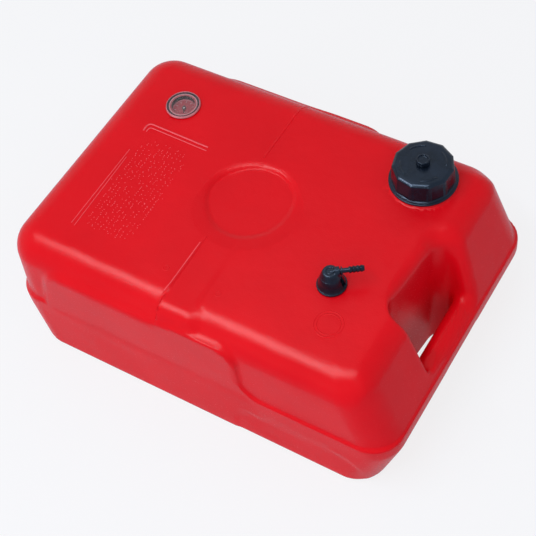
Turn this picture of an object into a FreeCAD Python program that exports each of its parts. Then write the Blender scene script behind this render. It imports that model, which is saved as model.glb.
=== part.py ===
import FreeCAD, Part
import math
import os

from FreeCAD import Vector

# Portable outboard fuel tank, laid flat, in millimetres.
# Frame: origin at the bottom centre, +X towards the handle end, -Y the long side that carries the
# pick-up fitting, +Z up.  Every piece is built in place.

# ---------------------------------------------------------------- tank body
TANK_LENGTH = 540.0
TANK_WIDTH = 376.0
TANK_HEIGHT = 191.0
WALL = 4.0
LEDGE_HEIGHT = 87.0          # step that runs round the body at the parting level
CHINE_HEIGHT = 68.0          # below this the ends lean in towards the base
BASE_PLAIN_INSET = 18.0      # how far the plain end leans in at the base
BASE_HANDLE_INSET = 25.0     # the same at the handle end
BASE_SIDE_FLARE = 4.5        # how far the long sides spread at the base
BASE_EDGE_RADIUS = 6.0
LOWER_CORNER_RADIUS = 40.0
UPPER_CORNER_RADIUS = 42.0
SIDE_STEP = 3.0              # how far the upper half stands inside the lower half, long sides
PLAIN_END_STEP = 2.6         # the same at the plain end
HANDLE_END_STEP = 7.0        # the same at the handle end
SIDE_DRAFT = 0.041           # lean of the long sides and the plain end, mm per mm of height
HANDLE_END_DRAFT = 0.27      # lean of the end above the handle
TOP_RADIUS = 36.0

# ---------------------------------------------------------------- proud side panels
PANEL_FROM_PLAIN_END = 70.0
PANEL_BELOW_TOP = 25.0
PANEL_END_LEAN = 0.2         # lean of the panel's end towards the plain end, mm per mm
PANEL_TOP_CORNER = 20.0
PANEL_SHOULDER_FROM_HANDLE_END = 224.0   # where its top edge starts the S down to the ledge
PANEL_CURVE_RADIUS = 28.0

# ---------------------------------------------------------------- strap channel and round recess
BAND_X = -6.0
BAND_WIDTH = 44.0
BAND_DEPTH = 1.5
BAND_SIDE_INSET = 4.0        # its outer faces inside the body's overall width
BAND_EDGE_RADIUS = 20.0
RECESS_X = -14.0
RECESS_RADIUS = 54.0         # at its floor
RECESS_DEPTH = 4.0
RECESS_FLARE = 9.0           # how much wider it is at the top face

# ---------------------------------------------------------------- carrying handle
SLOT_FROM_END = 60.0         # inner wall of the hand slot
SLOT_LOW_Y = -53.0
SLOT_HIGH_Y = 62.0
SLOT_CORNER_RADIUS = 15.0
BAR_THICKNESS = 32.0
BAR_TOP = 100.0
BAR_BOTTOM = 58.0
BAR_RADIUS = 13.0

# ---------------------------------------------------------------- filler neck
NECK_FROM_HANDLE_END = 109.5
NECK_FROM_BACK = 69.5
NECK_SEAT_RADIUS = 40.0
NECK_SEAT_RISE = 3.7         # seat above the tank's top face
NECK_RADIUS = 30.0
NECK_BORE_RADIUS = 26.0
NECK_RISE = 24.4
NECK_COLLAR_DEPTH = 12.0     # how far the neck's thick collar reaches below the top face
THREAD_LEAD = 8.0
THREAD_DEPTH = 2.2
THREAD_ROOT = 3.6
THREAD_TIP = 1.6
THREAD_SINK = 0.4
NECK_THREAD_RISE = 9.0       # start of the thread above the tank's top face
NECK_THREAD_TURNS = 1.5

# ---------------------------------------------------------------- filler cap
CAP_SIDES = 14
CAP_PLATE = 4.1
CAP_SEAT_GAP = 0.3
CAP_BORE_CLEARANCE = 0.5
CAP_SKIRT_LOW_RADIUS = 38.8
CAP_SKIRT_HIGH_RADIUS = 36.4
CAP_CHAMFER = 2.4
CAP_FLANGE_RADIUS = 42.0
CAP_FLANGE_THICKNESS = 2.6
CAP_STEP_RADIUS = 40.2
CAP_STEP_THICKNESS = 1.6
CAP_THREAD_TURNS = 1.2
CAP_MARK_RADIUS = 27.5
CAP_MARK_WIDTH = 2.0
CAP_MARK_HEIGHT = 0.8
CAP_MARK_ANGLE = 34.0
CAP_MARK_COUNT = 4
VENT_BOSS_RADIUS = 6.0
VENT_BOSS_DEPTH = 5.0
LINER_THICKNESS = 2.8
LINER_EDGE_GAP = 1.0
LINER_SKIRT_WALL = 2.0
LINER_SKIRT_DEPTH = 6.0
GASKET_THICKNESS = 2.5
GASKET_OVERHANG = 1.0
SEAL_GAP = 0.1               # running gap between a seal and the face it turns on

# ---------------------------------------------------------------- vent screw
VENT_SHANK_RADIUS = 2.5
VENT_FIT = 0.05
VENT_KNOB_RADIUS = 7.4
VENT_KNOB_HEIGHT = 6.4
VENT_KNOB_CHAMFER = 0.8
VENT_SHANK_LENGTH = 11.0
VENT_SEAL_RADIUS = 5.0
VENT_SEAL_THICKNESS = 1.4
VENT_GRIPS = 8
VENT_GRIP_RADIUS = 1.2

# ---------------------------------------------------------------- pick-up fitting
PICKUP_FROM_HANDLE_END = 134.8
PICKUP_FROM_FRONT = 126.7
PICKUP_BOSS_RADIUS = 9.6
PICKUP_BOSS_RISE = 12.0
PICKUP_BORE_RADIUS = 6.4
PICKUP_GASKET_THICKNESS = 1.5
STEM_FLANGE_THICKNESS = 2.0
STEM_RADIUS = 4.8
STEM_BORE_RADIUS = 2.2
STEM_HEIGHT = 7.5            # above its flange
STEM_SPIGOT_RADIUS = 3.4
STEM_SPIGOT_LENGTH = 26.0
NUT_BASE_RADIUS = 18.0
NUT_BASE_THICKNESS = 2.8
NUT_BASE_GAP = 0.5
NUT_CONE_LOW_RADIUS = 16.4
NUT_TOP_RADIUS = 11.2
NUT_LIP = 1.6
NUT_CLEARANCE = 0.3
NUT_NOTCH_WIDTH = 5.0
NUT_NOTCH_HEIGHT = 8.0
NUT_NOTCH_AZIMUTH = 8.0
ELBOW_GAP = 0.2              # free height of the swivel between stem and nut
ELBOW_FLANGE_RADIUS = 8.4
ELBOW_FLANGE_THICKNESS = 1.3
ELBOW_NECK_RADIUS = 6.8
ELBOW_NECK_CLEARANCE = 0.3
ELBOW_HEAD_RADIUS = 8.3
ELBOW_HEAD_HEIGHT = 12.5
ELBOW_DOME = 3.0
ELBOW_AZIMUTH = 33.0
ELBOW_FIT = 0.08
TAIL_DROP = 6.0              # tail axis below the head's top
TAIL_LENGTH = 38.8
TAIL_RADIUS = 3.2
TAIL_BORE_RADIUS = 1.8
TAIL_BARB_RADIUS = 4.2
TAIL_BARB_TAPER = 3.4
TAIL_BARB_LAND = 1.0
TAIL_BARBS = 4
TAIL_COLLAR_RADIUS = 5.4
TAIL_COLLAR_WIDTH = 3.0
TAIL_COLLAR_START = 10.5
ORING_SECTION_RADIUS = 0.75
ORING_HEIGHT = 4.5           # above the stem's flange
ORING_GROOVE_DEPTH = 1.6
ORING_GROOVE_WIDTH = 1.8
DIP_TUBE_WALL = 1.2
DIP_TUBE_FOOT = 12.0
DIP_TUBE_HEAD_GAP = 6.0
STRAINER_RADIUS = 7.2
STRAINER_WALL = 1.2
STRAINER_LENGTH = 26.0
STRAINER_DROP = 5.0          # below the mouth of the dip tube
STRAINER_WINDOWS = 6
STRAINER_WINDOW_WIDTH = 4.0
STRAINER_MARGIN = 4.0

# ---------------------------------------------------------------- fuel gauge
GAUGE_FROM_PLAIN_END = 98.6
GAUGE_FROM_BACK = 91.1
GAUGE_CUP_RADIUS = 17.0
GAUGE_HOLE_CLEARANCE = 0.2
GAUGE_CUP_WALL = 1.6
GAUGE_CUP_DEPTH = 12.0
GAUGE_FLANGE_RADIUS = 21.6
GAUGE_FLANGE_THICKNESS = 1.4
GAUGE_GASKET_THICKNESS = 1.0
LENS_RADIUS = 22.7
LENS_THICKNESS = 1.4
LENS_RISE = 1.0
LENS_SKIRT_DEPTH = 2.2
LENS_SKIRT_WALL = 1.2
DIAL_THICKNESS = 0.8
DIAL_DEPTH = 6.0             # dial's underside below the tank's top face
DIAL_LEDGE = 1.8
DIAL_HOLE_RADIUS = 2.0
POINTER_LENGTH = 11.0
POINTER_TAIL = 4.0
POINTER_WIDTH = 2.2
POINTER_HUB_RADIUS = 2.6
POINTER_AZIMUTH = -60.0
POINTER_THICKNESS = 0.8
POINTER_GAP = 1.2
SPINDLE_RADIUS = 1.2
SPINDLE_FIT = 0.06
STRIP_WIDTH = 5.0
STRIP_THICKNESS = 0.8
STRIP_SECTIONS = 22
FLOAT_RADIUS = 13.5
FLOAT_HEIGHT = 20.0
FLOAT_REST_GAP = 0.3
FLOAT_TOP_GAP = 6.1          # left above the driver when the float is right up
FLOAT_SWEEP_DEGREES = 270.0
FLOAT_WELL_RADIUS = 4.2
DRIVER_THICKNESS = 1.6
DRIVER_RADIUS = 6.4
DRIVER_CLEARANCE = 0.4
ROD_RADIUS = 1.5
ROD_SPACING = 18.0
ROD_AZIMUTH = 90.0
ROD_CLEARANCE = 0.5
GAUGE_FOOT_THICKNESS = 3.0
GAUGE_FOOT_HEIGHT = 8.0
GAUGE_FOOT_RADIUS = 12.0

# ---------------------------------------------------------------- worked out from the sizes above
HALF_LENGTH = TANK_LENGTH / 2
HALF_WIDTH = TANK_WIDTH / 2
BODY_MARGIN = 60.0           # how far a cutting tool reaches past the body
CUT_MARGIN = 1.0             # how far a small cutting tool reaches past the face that it opens
SAME_HEIGHT = 0.01           # levels closer than this are one level
UP = Vector(0, 0, 1)
PANEL_LOW_X = -HALF_LENGTH + PANEL_FROM_PLAIN_END
PANEL_TOP = TANK_HEIGHT - PANEL_BELOW_TOP
PANEL_SHOULDER_X = HALF_LENGTH - PANEL_SHOULDER_FROM_HANDLE_END
SLOT_X = HALF_LENGTH - SLOT_FROM_END
BAR_X = HALF_LENGTH - BAR_THICKNESS
NECK_X = HALF_LENGTH - NECK_FROM_HANDLE_END
NECK_Y = HALF_WIDTH - NECK_FROM_BACK
NECK_SEAT_TOP = TANK_HEIGHT + NECK_SEAT_RISE
NECK_TOP = TANK_HEIGHT + NECK_RISE
NECK_THREAD_START = TANK_HEIGHT + NECK_THREAD_RISE
NECK_COLLAR_LOW = TANK_HEIGHT - NECK_COLLAR_DEPTH
CAP_BOTTOM = NECK_SEAT_TOP + CAP_SEAT_GAP
CAP_BORE_RADIUS = NECK_RADIUS + THREAD_DEPTH + CAP_BORE_CLEARANCE
GASKET_LOW = NECK_TOP + SEAL_GAP
LINER_LOW = GASKET_LOW + GASKET_THICKNESS
LINER_HIGH = LINER_LOW + LINER_THICKNESS
CAP_CEILING = LINER_HIGH + SEAL_GAP
CAP_TOP = CAP_CEILING + CAP_PLATE
VENT_SEAL_LOW = CAP_TOP + SEAL_GAP
VENT_KNOB_LOW = VENT_SEAL_LOW + VENT_SEAL_THICKNESS + SEAL_GAP
PICKUP_X = HALF_LENGTH - PICKUP_FROM_HANDLE_END
PICKUP_Y = -HALF_WIDTH + PICKUP_FROM_FRONT
PICKUP_BOSS_TOP = TANK_HEIGHT + PICKUP_BOSS_RISE
PICKUP_GASKET_TOP = PICKUP_BOSS_TOP + PICKUP_GASKET_THICKNESS
STEM_FLANGE_TOP = PICKUP_GASKET_TOP + STEM_FLANGE_THICKNESS
ELBOW_LOW = STEM_FLANGE_TOP + ELBOW_GAP
NUT_LIP_LOW = ELBOW_LOW + ELBOW_FLANGE_THICKNESS + ELBOW_GAP
NUT_TOP = NUT_LIP_LOW + NUT_LIP
ELBOW_HEAD_LOW = NUT_TOP + ELBOW_GAP
ELBOW_TOP = ELBOW_HEAD_LOW + ELBOW_HEAD_HEIGHT
TAIL_HEIGHT = ELBOW_TOP - TAIL_DROP
STRAINER_FOOT = DIP_TUBE_FOOT - STRAINER_DROP
GAUGE_X = -HALF_LENGTH + GAUGE_FROM_PLAIN_END
GAUGE_Y = HALF_WIDTH - GAUGE_FROM_BACK
GAUGE_HOLE_RADIUS = GAUGE_CUP_RADIUS + GAUGE_HOLE_CLEARANCE
GAUGE_FLANGE_LOW = TANK_HEIGHT + GAUGE_GASKET_THICKNESS
LENS_LOW = GAUGE_FLANGE_LOW + GAUGE_FLANGE_THICKNESS
GAUGE_CUP_LOW = TANK_HEIGHT - GAUGE_CUP_DEPTH
GAUGE_CUP_BORE = GAUGE_CUP_RADIUS - GAUGE_CUP_WALL
DIAL_LOW = TANK_HEIGHT - DIAL_DEPTH
POINTER_LOW = DIAL_LOW + DIAL_THICKNESS + POINTER_GAP
GAUGE_FOOT_TOP = GAUGE_FOOT_HEIGHT + GAUGE_FOOT_THICKNESS
FLOAT_LOW = GAUGE_FOOT_TOP + FLOAT_REST_GAP
FLOAT_TOP = FLOAT_LOW + FLOAT_HEIGHT
FLOAT_TRAVEL = GAUGE_CUP_LOW - FLOAT_TOP_GAP - FLOAT_TOP - DRIVER_THICKNESS
TWIST_PER_MM = FLOAT_SWEEP_DEGREES / FLOAT_TRAVEL


def cylinder(radius, low, high, x=0.0, y=0.0):
    return Part.makeCylinder(radius, high - low, Vector(x, y, low), UP)


def ring(outer, inner, low, high, x=0.0, y=0.0):
    return cylinder(outer, low, high, x, y).cut(cylinder(inner, low, high, x, y))


def cone(low_radius, high_radius, low, high, x=0.0, y=0.0):
    return Part.makeCone(low_radius, high_radius, high - low, Vector(x, y, low), UP)


def box(x_low, x_high, y_low, y_high, z_low, z_high):
    corner = Vector(x_low, y_low, z_low)
    return Part.makeBox(x_high - x_low, y_high - y_low, z_high - z_low, corner)


def fuse_all(shapes):
    return shapes[0].multiFuse(shapes[1:]).removeSplitter()


def cut_all(shape, tools):
    for tool in tools:
        shape = shape.cut(tool)
    return shape


def rounded_outline(x_low, x_high, y_low, y_high, z, low_radius, high_radius):
    """Closed wire of a rectangle with rounded corners; the two ends have their own radius."""
    corners = (
        (x_high - high_radius, y_low + high_radius, high_radius, 270),
        (x_high - high_radius, y_high - high_radius, high_radius, 0),
        (x_low + low_radius, y_high - low_radius, low_radius, 90),
        (x_low + low_radius, y_low + low_radius, low_radius, 180),
    )
    arcs = [
        Part.makeCircle(radius, Vector(x, y, z), UP, start, start + 90)
        for x, y, radius, start in corners
    ]
    edges = []
    for index, arc in enumerate(arcs):
        following = arcs[(index + 1) % len(arcs)]
        edges.append(arc)
        edges.append(Part.makeLine(arc.Vertexes[-1].Point, following.Vertexes[0].Point))
    return Part.Wire(edges)


def prism_from_outline(wire, height):
    return Part.Face(wire).extrude(Vector(0, 0, height))


def lower_body(inset):
    """Base to ledge: below the chine the ends lean in and the long sides spread."""
    low = inset
    reach = HALF_WIDTH + BASE_SIDE_FLARE - inset
    base = rounded_outline(
        -HALF_LENGTH + BASE_PLAIN_INSET + inset, HALF_LENGTH - BASE_HANDLE_INSET - inset,
        -reach, reach, low, LOWER_CORNER_RADIUS - inset, LOWER_CORNER_RADIUS - inset)
    chine = rounded_outline(
        -HALF_LENGTH + inset, HALF_LENGTH - inset, -HALF_WIDTH + inset, HALF_WIDTH - inset,
        CHINE_HEIGHT, LOWER_CORNER_RADIUS - inset, LOWER_CORNER_RADIUS - inset)
    tub = Part.makeLoft([base, chine], True, True)
    floor_edges = [e for e in tub.Edges if abs(e.BoundBox.ZMax - low) < SAME_HEIGHT]
    tub = tub.makeFillet(BASE_EDGE_RADIUS - inset, floor_edges)
    belt = prism_from_outline(chine, LEDGE_HEIGHT - inset - CHINE_HEIGHT)
    return fuse_all([tub, belt])


def upper_body(inset):
    """Ledge to top: drafted walls under one large rounding."""
    low = LEDGE_HEIGHT - WALL - inset
    high = TANK_HEIGHT - inset
    rise = high - LEDGE_HEIGHT
    side = SIDE_DRAFT * rise
    corner = UPPER_CORNER_RADIUS - inset
    foot = rounded_outline(
        -HALF_LENGTH + PLAIN_END_STEP + inset, HALF_LENGTH - HANDLE_END_STEP - inset,
        -HALF_WIDTH + SIDE_STEP + inset, HALF_WIDTH - SIDE_STEP - inset,
        low, corner, corner)
    head = rounded_outline(
        -HALF_LENGTH + PLAIN_END_STEP + inset + side,
        HALF_LENGTH - HANDLE_END_STEP - inset - HANDLE_END_DRAFT * rise,
        -HALF_WIDTH + SIDE_STEP + inset + side, HALF_WIDTH - SIDE_STEP - inset - side,
        high, corner, corner)
    block = Part.makeLoft([foot, head], True, True)
    top_edges = [e for e in block.Edges if abs(e.BoundBox.ZMin - high) < SAME_HEIGHT]
    return block.makeFillet(TOP_RADIUS - inset, top_edges)


def side_panels(inset):
    """The proud panel of each long side, as one prism across the body."""
    low = LEDGE_HEIGHT - WALL - inset
    top = PANEL_TOP - inset
    lean = math.atan(PANEL_END_LEAN)
    left = PANEL_LOW_X + inset / math.cos(lean) - PANEL_END_LEAN * inset
    shoulder = PANEL_SHOULDER_X - inset
    outer_radius = PANEL_CURVE_RADIUS - inset
    inner_radius = PANEL_CURVE_RADIUS + inset
    corner = PANEL_TOP_CORNER - inset
    ledge = LEDGE_HEIGHT - inset
    face_x = shoulder + outer_radius
    y = -HALF_WIDTH + inset
    turn = math.sqrt(0.5)
    corner_x = left + corner * (1 - math.sin(lean)) / math.cos(lean)

    def at(x, z):
        return Vector(x, y, z)

    def on_corner(angle):
        return at(corner_x + corner * math.cos(angle), top - corner + corner * math.sin(angle))

    foot = at(left - PANEL_END_LEAN * (top - low), low)
    points_top_left = (on_corner(math.pi - lean), on_corner(0.75 * math.pi - lean / 2),
                       on_corner(math.pi / 2))
    points_shoulder = (at(shoulder, top),
                       at(shoulder + outer_radius * turn, top - outer_radius * (1 - turn)),
                       at(face_x, top - outer_radius))
    points_foot = (at(face_x, ledge + inner_radius),
                   at(face_x + inner_radius * (1 - turn), ledge + inner_radius * (1 - turn)),
                   at(face_x + inner_radius, ledge))
    edges = [
        Part.makeLine(foot, points_top_left[0]),
        Part.Arc(*points_top_left).toShape(),
        Part.makeLine(points_top_left[-1], points_shoulder[0]),
        Part.Arc(*points_shoulder).toShape(),
        Part.makeLine(points_shoulder[-1], points_foot[0]),
        Part.Arc(*points_foot).toShape(),
        Part.makeLine(points_foot[-1], at(face_x + inner_radius, low)),
        Part.makeLine(at(face_x + inner_radius, low), foot),
    ]
    return Part.Face(Part.Wire(edges)).extrude(Vector(0, -2 * y, 0))


def band_block(inset):
    """The strap band: a rounded slice across the body that stands proud at both long sides."""
    half = BAND_WIDTH / 2 - inset
    reach = HALF_WIDTH - BAND_SIDE_INSET - inset
    block = box(BAND_X - half, BAND_X + half, -reach, reach,
                LEDGE_HEIGHT - WALL - inset, TANK_HEIGHT - BAND_DEPTH - inset)
    crowns = [e for e in block.Edges
              if abs(e.BoundBox.ZMin - (TANK_HEIGHT - BAND_DEPTH - inset)) < SAME_HEIGHT
              and e.BoundBox.XLength > half]
    return block.makeFillet(BAND_EDGE_RADIUS - inset, crowns)


def top_cutters(inset):
    """Strap channel and round recess, as the tools that lower the top face."""
    half = BAND_WIDTH / 2 + inset
    high = TANK_HEIGHT + BODY_MARGIN
    floor = TANK_HEIGHT - RECESS_DEPTH - inset
    channel = box(BAND_X - half, BAND_X + half, -HALF_WIDTH, HALF_WIDTH,
                  TANK_HEIGHT - BAND_DEPTH - inset, high)
    recess = cone(RECESS_RADIUS + inset, RECESS_RADIUS + inset + RECESS_FLARE,
                  floor, TANK_HEIGHT, RECESS_X, 0.0)
    return channel, recess


def handle_void(inset):
    """Everything the hand needs: the space round the bar, from below the base to above the top."""
    outline = rounded_outline(
        SLOT_X - inset, HALF_LENGTH + BODY_MARGIN, SLOT_LOW_Y - inset, SLOT_HIGH_Y + inset,
        -BODY_MARGIN, SLOT_CORNER_RADIUS + inset, SLOT_CORNER_RADIUS + inset)
    space = prism_from_outline(outline, TANK_HEIGHT + 2 * BODY_MARGIN)
    past = 2 * inset + CUT_MARGIN
    bar = box(BAR_X + inset, HALF_LENGTH + 2 * BODY_MARGIN, SLOT_LOW_Y - past, SLOT_HIGH_Y + past,
              BAR_BOTTOM + inset, BAR_TOP - inset)
    grip_edges = [e for e in bar.Edges
                  if abs(e.BoundBox.XMax - (BAR_X + inset)) < SAME_HEIGHT and e.BoundBox.YLength > BAR_RADIUS]
    bar = bar.makeFillet(BAR_RADIUS - inset, grip_edges)
    return space.cut(bar)


def tank_envelope(inset):
    """Outer skin at inset 0, and the fuel space at inset WALL."""
    upper = cut_all(upper_body(inset), top_cutters(inset))
    band = band_block(inset).cut(top_cutters(inset)[1])
    body = fuse_all([lower_body(inset), upper, side_panels(inset), band])
    return body.cut(handle_void(inset))


def thread_ridge(radius, start, turns, outward):
    """One helical ridge on a cylinder of this radius; outward is +1 on a neck, -1 in a cap."""
    helix = Part.makeHelix(THREAD_LEAD, THREAD_LEAD * turns, radius)
    root = radius - outward * THREAD_SINK
    tip = radius + outward * THREAD_DEPTH
    points = [Vector(root, 0, -THREAD_ROOT / 2), Vector(root, 0, THREAD_ROOT / 2),
              Vector(tip, 0, THREAD_TIP / 2), Vector(tip, 0, -THREAD_TIP / 2)]
    profile = Part.makePolygon(points + points[:1])
    ridge = Part.Wire(helix).makePipeShell([profile], True, True)
    ridge.translate(Vector(0, 0, start))
    return ridge


def placed(shape, x, y, azimuth=0.0):
    """A shape built about the Z axis, turned by azimuth and set over a point of the tank."""
    shape.rotate(Vector(0, 0, 0), UP, azimuth)
    shape.translate(Vector(x, y, 0))
    return shape


def around(shape, count, x, y, start=0.0):
    """Copies of a shape built about the Z axis, evenly spaced round a point."""
    return [placed(shape.copy(), x, y, start + index * 360.0 / count) for index in range(count)]


def regular_outline(radius, sides, z):
    step = 2 * math.pi / sides
    points = [Vector(radius * math.cos(i * step), radius * math.sin(i * step), z) for i in range(sides)]
    return Part.makePolygon(points + points[:1])


def make_tank_shell():
    shell = tank_envelope(0.0).cut(tank_envelope(WALL))
    collar = cylinder(NECK_SEAT_RADIUS, NECK_COLLAR_LOW, NECK_SEAT_TOP, NECK_X, NECK_Y)
    neck = cylinder(NECK_RADIUS, NECK_COLLAR_LOW, NECK_TOP, NECK_X, NECK_Y)
    ridge = placed(thread_ridge(NECK_RADIUS, NECK_THREAD_START, NECK_THREAD_TURNS, 1), NECK_X, NECK_Y)
    pickup_boss = cylinder(PICKUP_BOSS_RADIUS, TANK_HEIGHT - WALL, PICKUP_BOSS_TOP, PICKUP_X, PICKUP_Y)
    shell = fuse_all([shell, collar, neck, ridge, pickup_boss])
    wall_low = TANK_HEIGHT - 2 * WALL
    return cut_all(shell, (
        cylinder(NECK_BORE_RADIUS, NECK_COLLAR_LOW - WALL, NECK_TOP + WALL, NECK_X, NECK_Y),
        cylinder(PICKUP_BORE_RADIUS, wall_low, PICKUP_BOSS_TOP + WALL, PICKUP_X, PICKUP_Y),
        cylinder(GAUGE_HOLE_RADIUS, wall_low, TANK_HEIGHT + WALL, GAUGE_X, GAUGE_Y),
    ))


# ================================================================ filler cap
def cap_marks():
    """Short raised arcs on the cap's top face."""
    outer = CAP_MARK_RADIUS + CAP_MARK_WIDTH / 2
    inner = CAP_MARK_RADIUS - CAP_MARK_WIDTH / 2
    low = CAP_TOP - CAP_MARK_HEIGHT
    height = 2 * CAP_MARK_HEIGHT
    sector = Part.makeCylinder(outer, height, Vector(0, 0, low), UP, CAP_MARK_ANGLE)
    arc = sector.cut(cylinder(inner, low, low + height))
    return around(arc, CAP_MARK_COUNT, NECK_X, NECK_Y)


def make_cap_shell():
    shoulder = CAP_TOP - CAP_CHAMFER
    flange_top = CAP_BOTTOM + CAP_FLANGE_THICKNESS
    skirt = Part.makeLoft([regular_outline(CAP_SKIRT_LOW_RADIUS, CAP_SIDES, CAP_BOTTOM),
                           regular_outline(CAP_SKIRT_HIGH_RADIUS, CAP_SIDES, shoulder)], True, True)
    crown = Part.makeLoft([regular_outline(CAP_SKIRT_HIGH_RADIUS, CAP_SIDES, shoulder),
                           regular_outline(CAP_SKIRT_HIGH_RADIUS - CAP_CHAMFER, CAP_SIDES, CAP_TOP)],
                          True, True)
    outside = fuse_all([
        placed(skirt, NECK_X, NECK_Y),
        placed(crown, NECK_X, NECK_Y),
        cylinder(CAP_FLANGE_RADIUS, CAP_BOTTOM, flange_top, NECK_X, NECK_Y),
        cylinder(CAP_STEP_RADIUS, CAP_BOTTOM, flange_top + CAP_STEP_THICKNESS, NECK_X, NECK_Y),
    ] + cap_marks())
    hollow = outside.cut(cylinder(CAP_BORE_RADIUS, CAP_BOTTOM - WALL, CAP_CEILING, NECK_X, NECK_Y))
    ridge = thread_ridge(CAP_BORE_RADIUS, NECK_THREAD_START + THREAD_LEAD / 2, CAP_THREAD_TURNS, -1)
    boss = cylinder(VENT_BOSS_RADIUS, CAP_CEILING - VENT_BOSS_DEPTH, CAP_TOP, NECK_X, NECK_Y)
    shell = fuse_all([hollow, placed(ridge, NECK_X, NECK_Y), boss])
    return shell.cut(cylinder(VENT_SHANK_RADIUS + VENT_FIT, CAP_CEILING - VENT_SHANK_LENGTH,
                              CAP_TOP + WALL, NECK_X, NECK_Y))


def make_cap_liner():
    """Disc that presses the gasket, with a spill skirt that reaches into the neck."""
    skirt_radius = NECK_BORE_RADIUS - LINER_EDGE_GAP
    disc = ring(CAP_BORE_RADIUS - LINER_EDGE_GAP, VENT_BOSS_RADIUS + LINER_EDGE_GAP,
                LINER_LOW, LINER_HIGH, NECK_X, NECK_Y)
    skirt = ring(skirt_radius - GASKET_OVERHANG, skirt_radius - GASKET_OVERHANG - LINER_SKIRT_WALL,
                 LINER_LOW - LINER_SKIRT_DEPTH, LINER_LOW, NECK_X, NECK_Y)
    return fuse_all([disc, skirt])


def make_cap_gasket():
    return ring(NECK_RADIUS + GASKET_OVERHANG, NECK_BORE_RADIUS - GASKET_OVERHANG,
                GASKET_LOW, LINER_LOW, NECK_X, NECK_Y)


def make_vent_screw():
    top = VENT_KNOB_LOW + VENT_KNOB_HEIGHT
    rim = top - VENT_KNOB_CHAMFER
    knob = fuse_all([
        cylinder(VENT_KNOB_RADIUS, VENT_KNOB_LOW, rim),
        cone(VENT_KNOB_RADIUS, VENT_KNOB_RADIUS - VENT_KNOB_CHAMFER, rim, top),
    ])
    grip = cylinder(VENT_GRIP_RADIUS, VENT_KNOB_LOW - CUT_MARGIN, top + CUT_MARGIN, VENT_KNOB_RADIUS, 0.0)
    knob = cut_all(knob, around(grip, VENT_GRIPS, 0.0, 0.0))
    shank = cylinder(VENT_SHANK_RADIUS, VENT_KNOB_LOW - VENT_SHANK_LENGTH, VENT_KNOB_LOW)
    return placed(fuse_all([knob, shank]), NECK_X, NECK_Y)


def make_vent_seal():
    return ring(VENT_SEAL_RADIUS, VENT_SHANK_RADIUS + VENT_FIT, VENT_SEAL_LOW,
                VENT_SEAL_LOW + VENT_SEAL_THICKNESS, NECK_X, NECK_Y)


# ================================================================ pick-up fitting
def make_pickup_gasket():
    return ring(PICKUP_BOSS_RADIUS, PICKUP_BORE_RADIUS, PICKUP_BOSS_TOP, PICKUP_GASKET_TOP,
                PICKUP_X, PICKUP_Y)


def make_pickup_stem():
    """Fixed part of the swivel: flange, upper stem with its O-ring groove, spigot for the dip tube."""
    groove_low = STEM_FLANGE_TOP + ORING_HEIGHT - ORING_GROOVE_WIDTH / 2
    stem = fuse_all([
        cylinder(PICKUP_BOSS_RADIUS, PICKUP_GASKET_TOP, STEM_FLANGE_TOP, PICKUP_X, PICKUP_Y),
        cylinder(STEM_RADIUS, PICKUP_GASKET_TOP, STEM_FLANGE_TOP + STEM_HEIGHT, PICKUP_X, PICKUP_Y),
        cylinder(STEM_SPIGOT_RADIUS, PICKUP_GASKET_TOP - STEM_SPIGOT_LENGTH, PICKUP_GASKET_TOP,
                 PICKUP_X, PICKUP_Y),
    ])
    return cut_all(stem, (
        ring(STEM_RADIUS + CUT_MARGIN, STEM_RADIUS - ORING_GROOVE_DEPTH, groove_low,
             groove_low + ORING_GROOVE_WIDTH, PICKUP_X, PICKUP_Y),
        cylinder(STEM_BORE_RADIUS, PICKUP_GASKET_TOP - STEM_SPIGOT_LENGTH - CUT_MARGIN,
                 STEM_FLANGE_TOP + STEM_HEIGHT + CUT_MARGIN, PICKUP_X, PICKUP_Y),
    ))


def make_pickup_oring():
    centre = Vector(PICKUP_X, PICKUP_Y, STEM_FLANGE_TOP + ORING_HEIGHT)
    return Part.makeTorus(STEM_RADIUS - ORING_SECTION_RADIUS, ORING_SECTION_RADIUS, centre, UP)


def make_pickup_nut():
    """Conical nut that holds the stem and the swivel down on the tank's boss."""
    base_low = TANK_HEIGHT + NUT_BASE_GAP
    base_top = base_low + NUT_BASE_THICKNESS
    outside = fuse_all([
        cylinder(NUT_BASE_RADIUS, base_low, base_top, PICKUP_X, PICKUP_Y),
        cone(NUT_CONE_LOW_RADIUS, NUT_TOP_RADIUS, base_top, NUT_TOP, PICKUP_X, PICKUP_Y),
    ])
    bore_radius = PICKUP_BOSS_RADIUS + NUT_CLEARANCE
    lip_radius = ELBOW_NECK_RADIUS + ELBOW_NECK_CLEARANCE
    notch = placed(box(bore_radius + NUT_LIP, NUT_BASE_RADIUS, -NUT_NOTCH_WIDTH / 2, NUT_NOTCH_WIDTH / 2,
                       base_top, base_top + NUT_NOTCH_HEIGHT), PICKUP_X, PICKUP_Y, NUT_NOTCH_AZIMUTH)
    return cut_all(outside, (
        cylinder(bore_radius, base_low - CUT_MARGIN, NUT_LIP_LOW, PICKUP_X, PICKUP_Y),
        cylinder(lip_radius, NUT_LIP_LOW - CUT_MARGIN, NUT_TOP + CUT_MARGIN, PICKUP_X, PICKUP_Y),
        notch,
    ))


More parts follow.
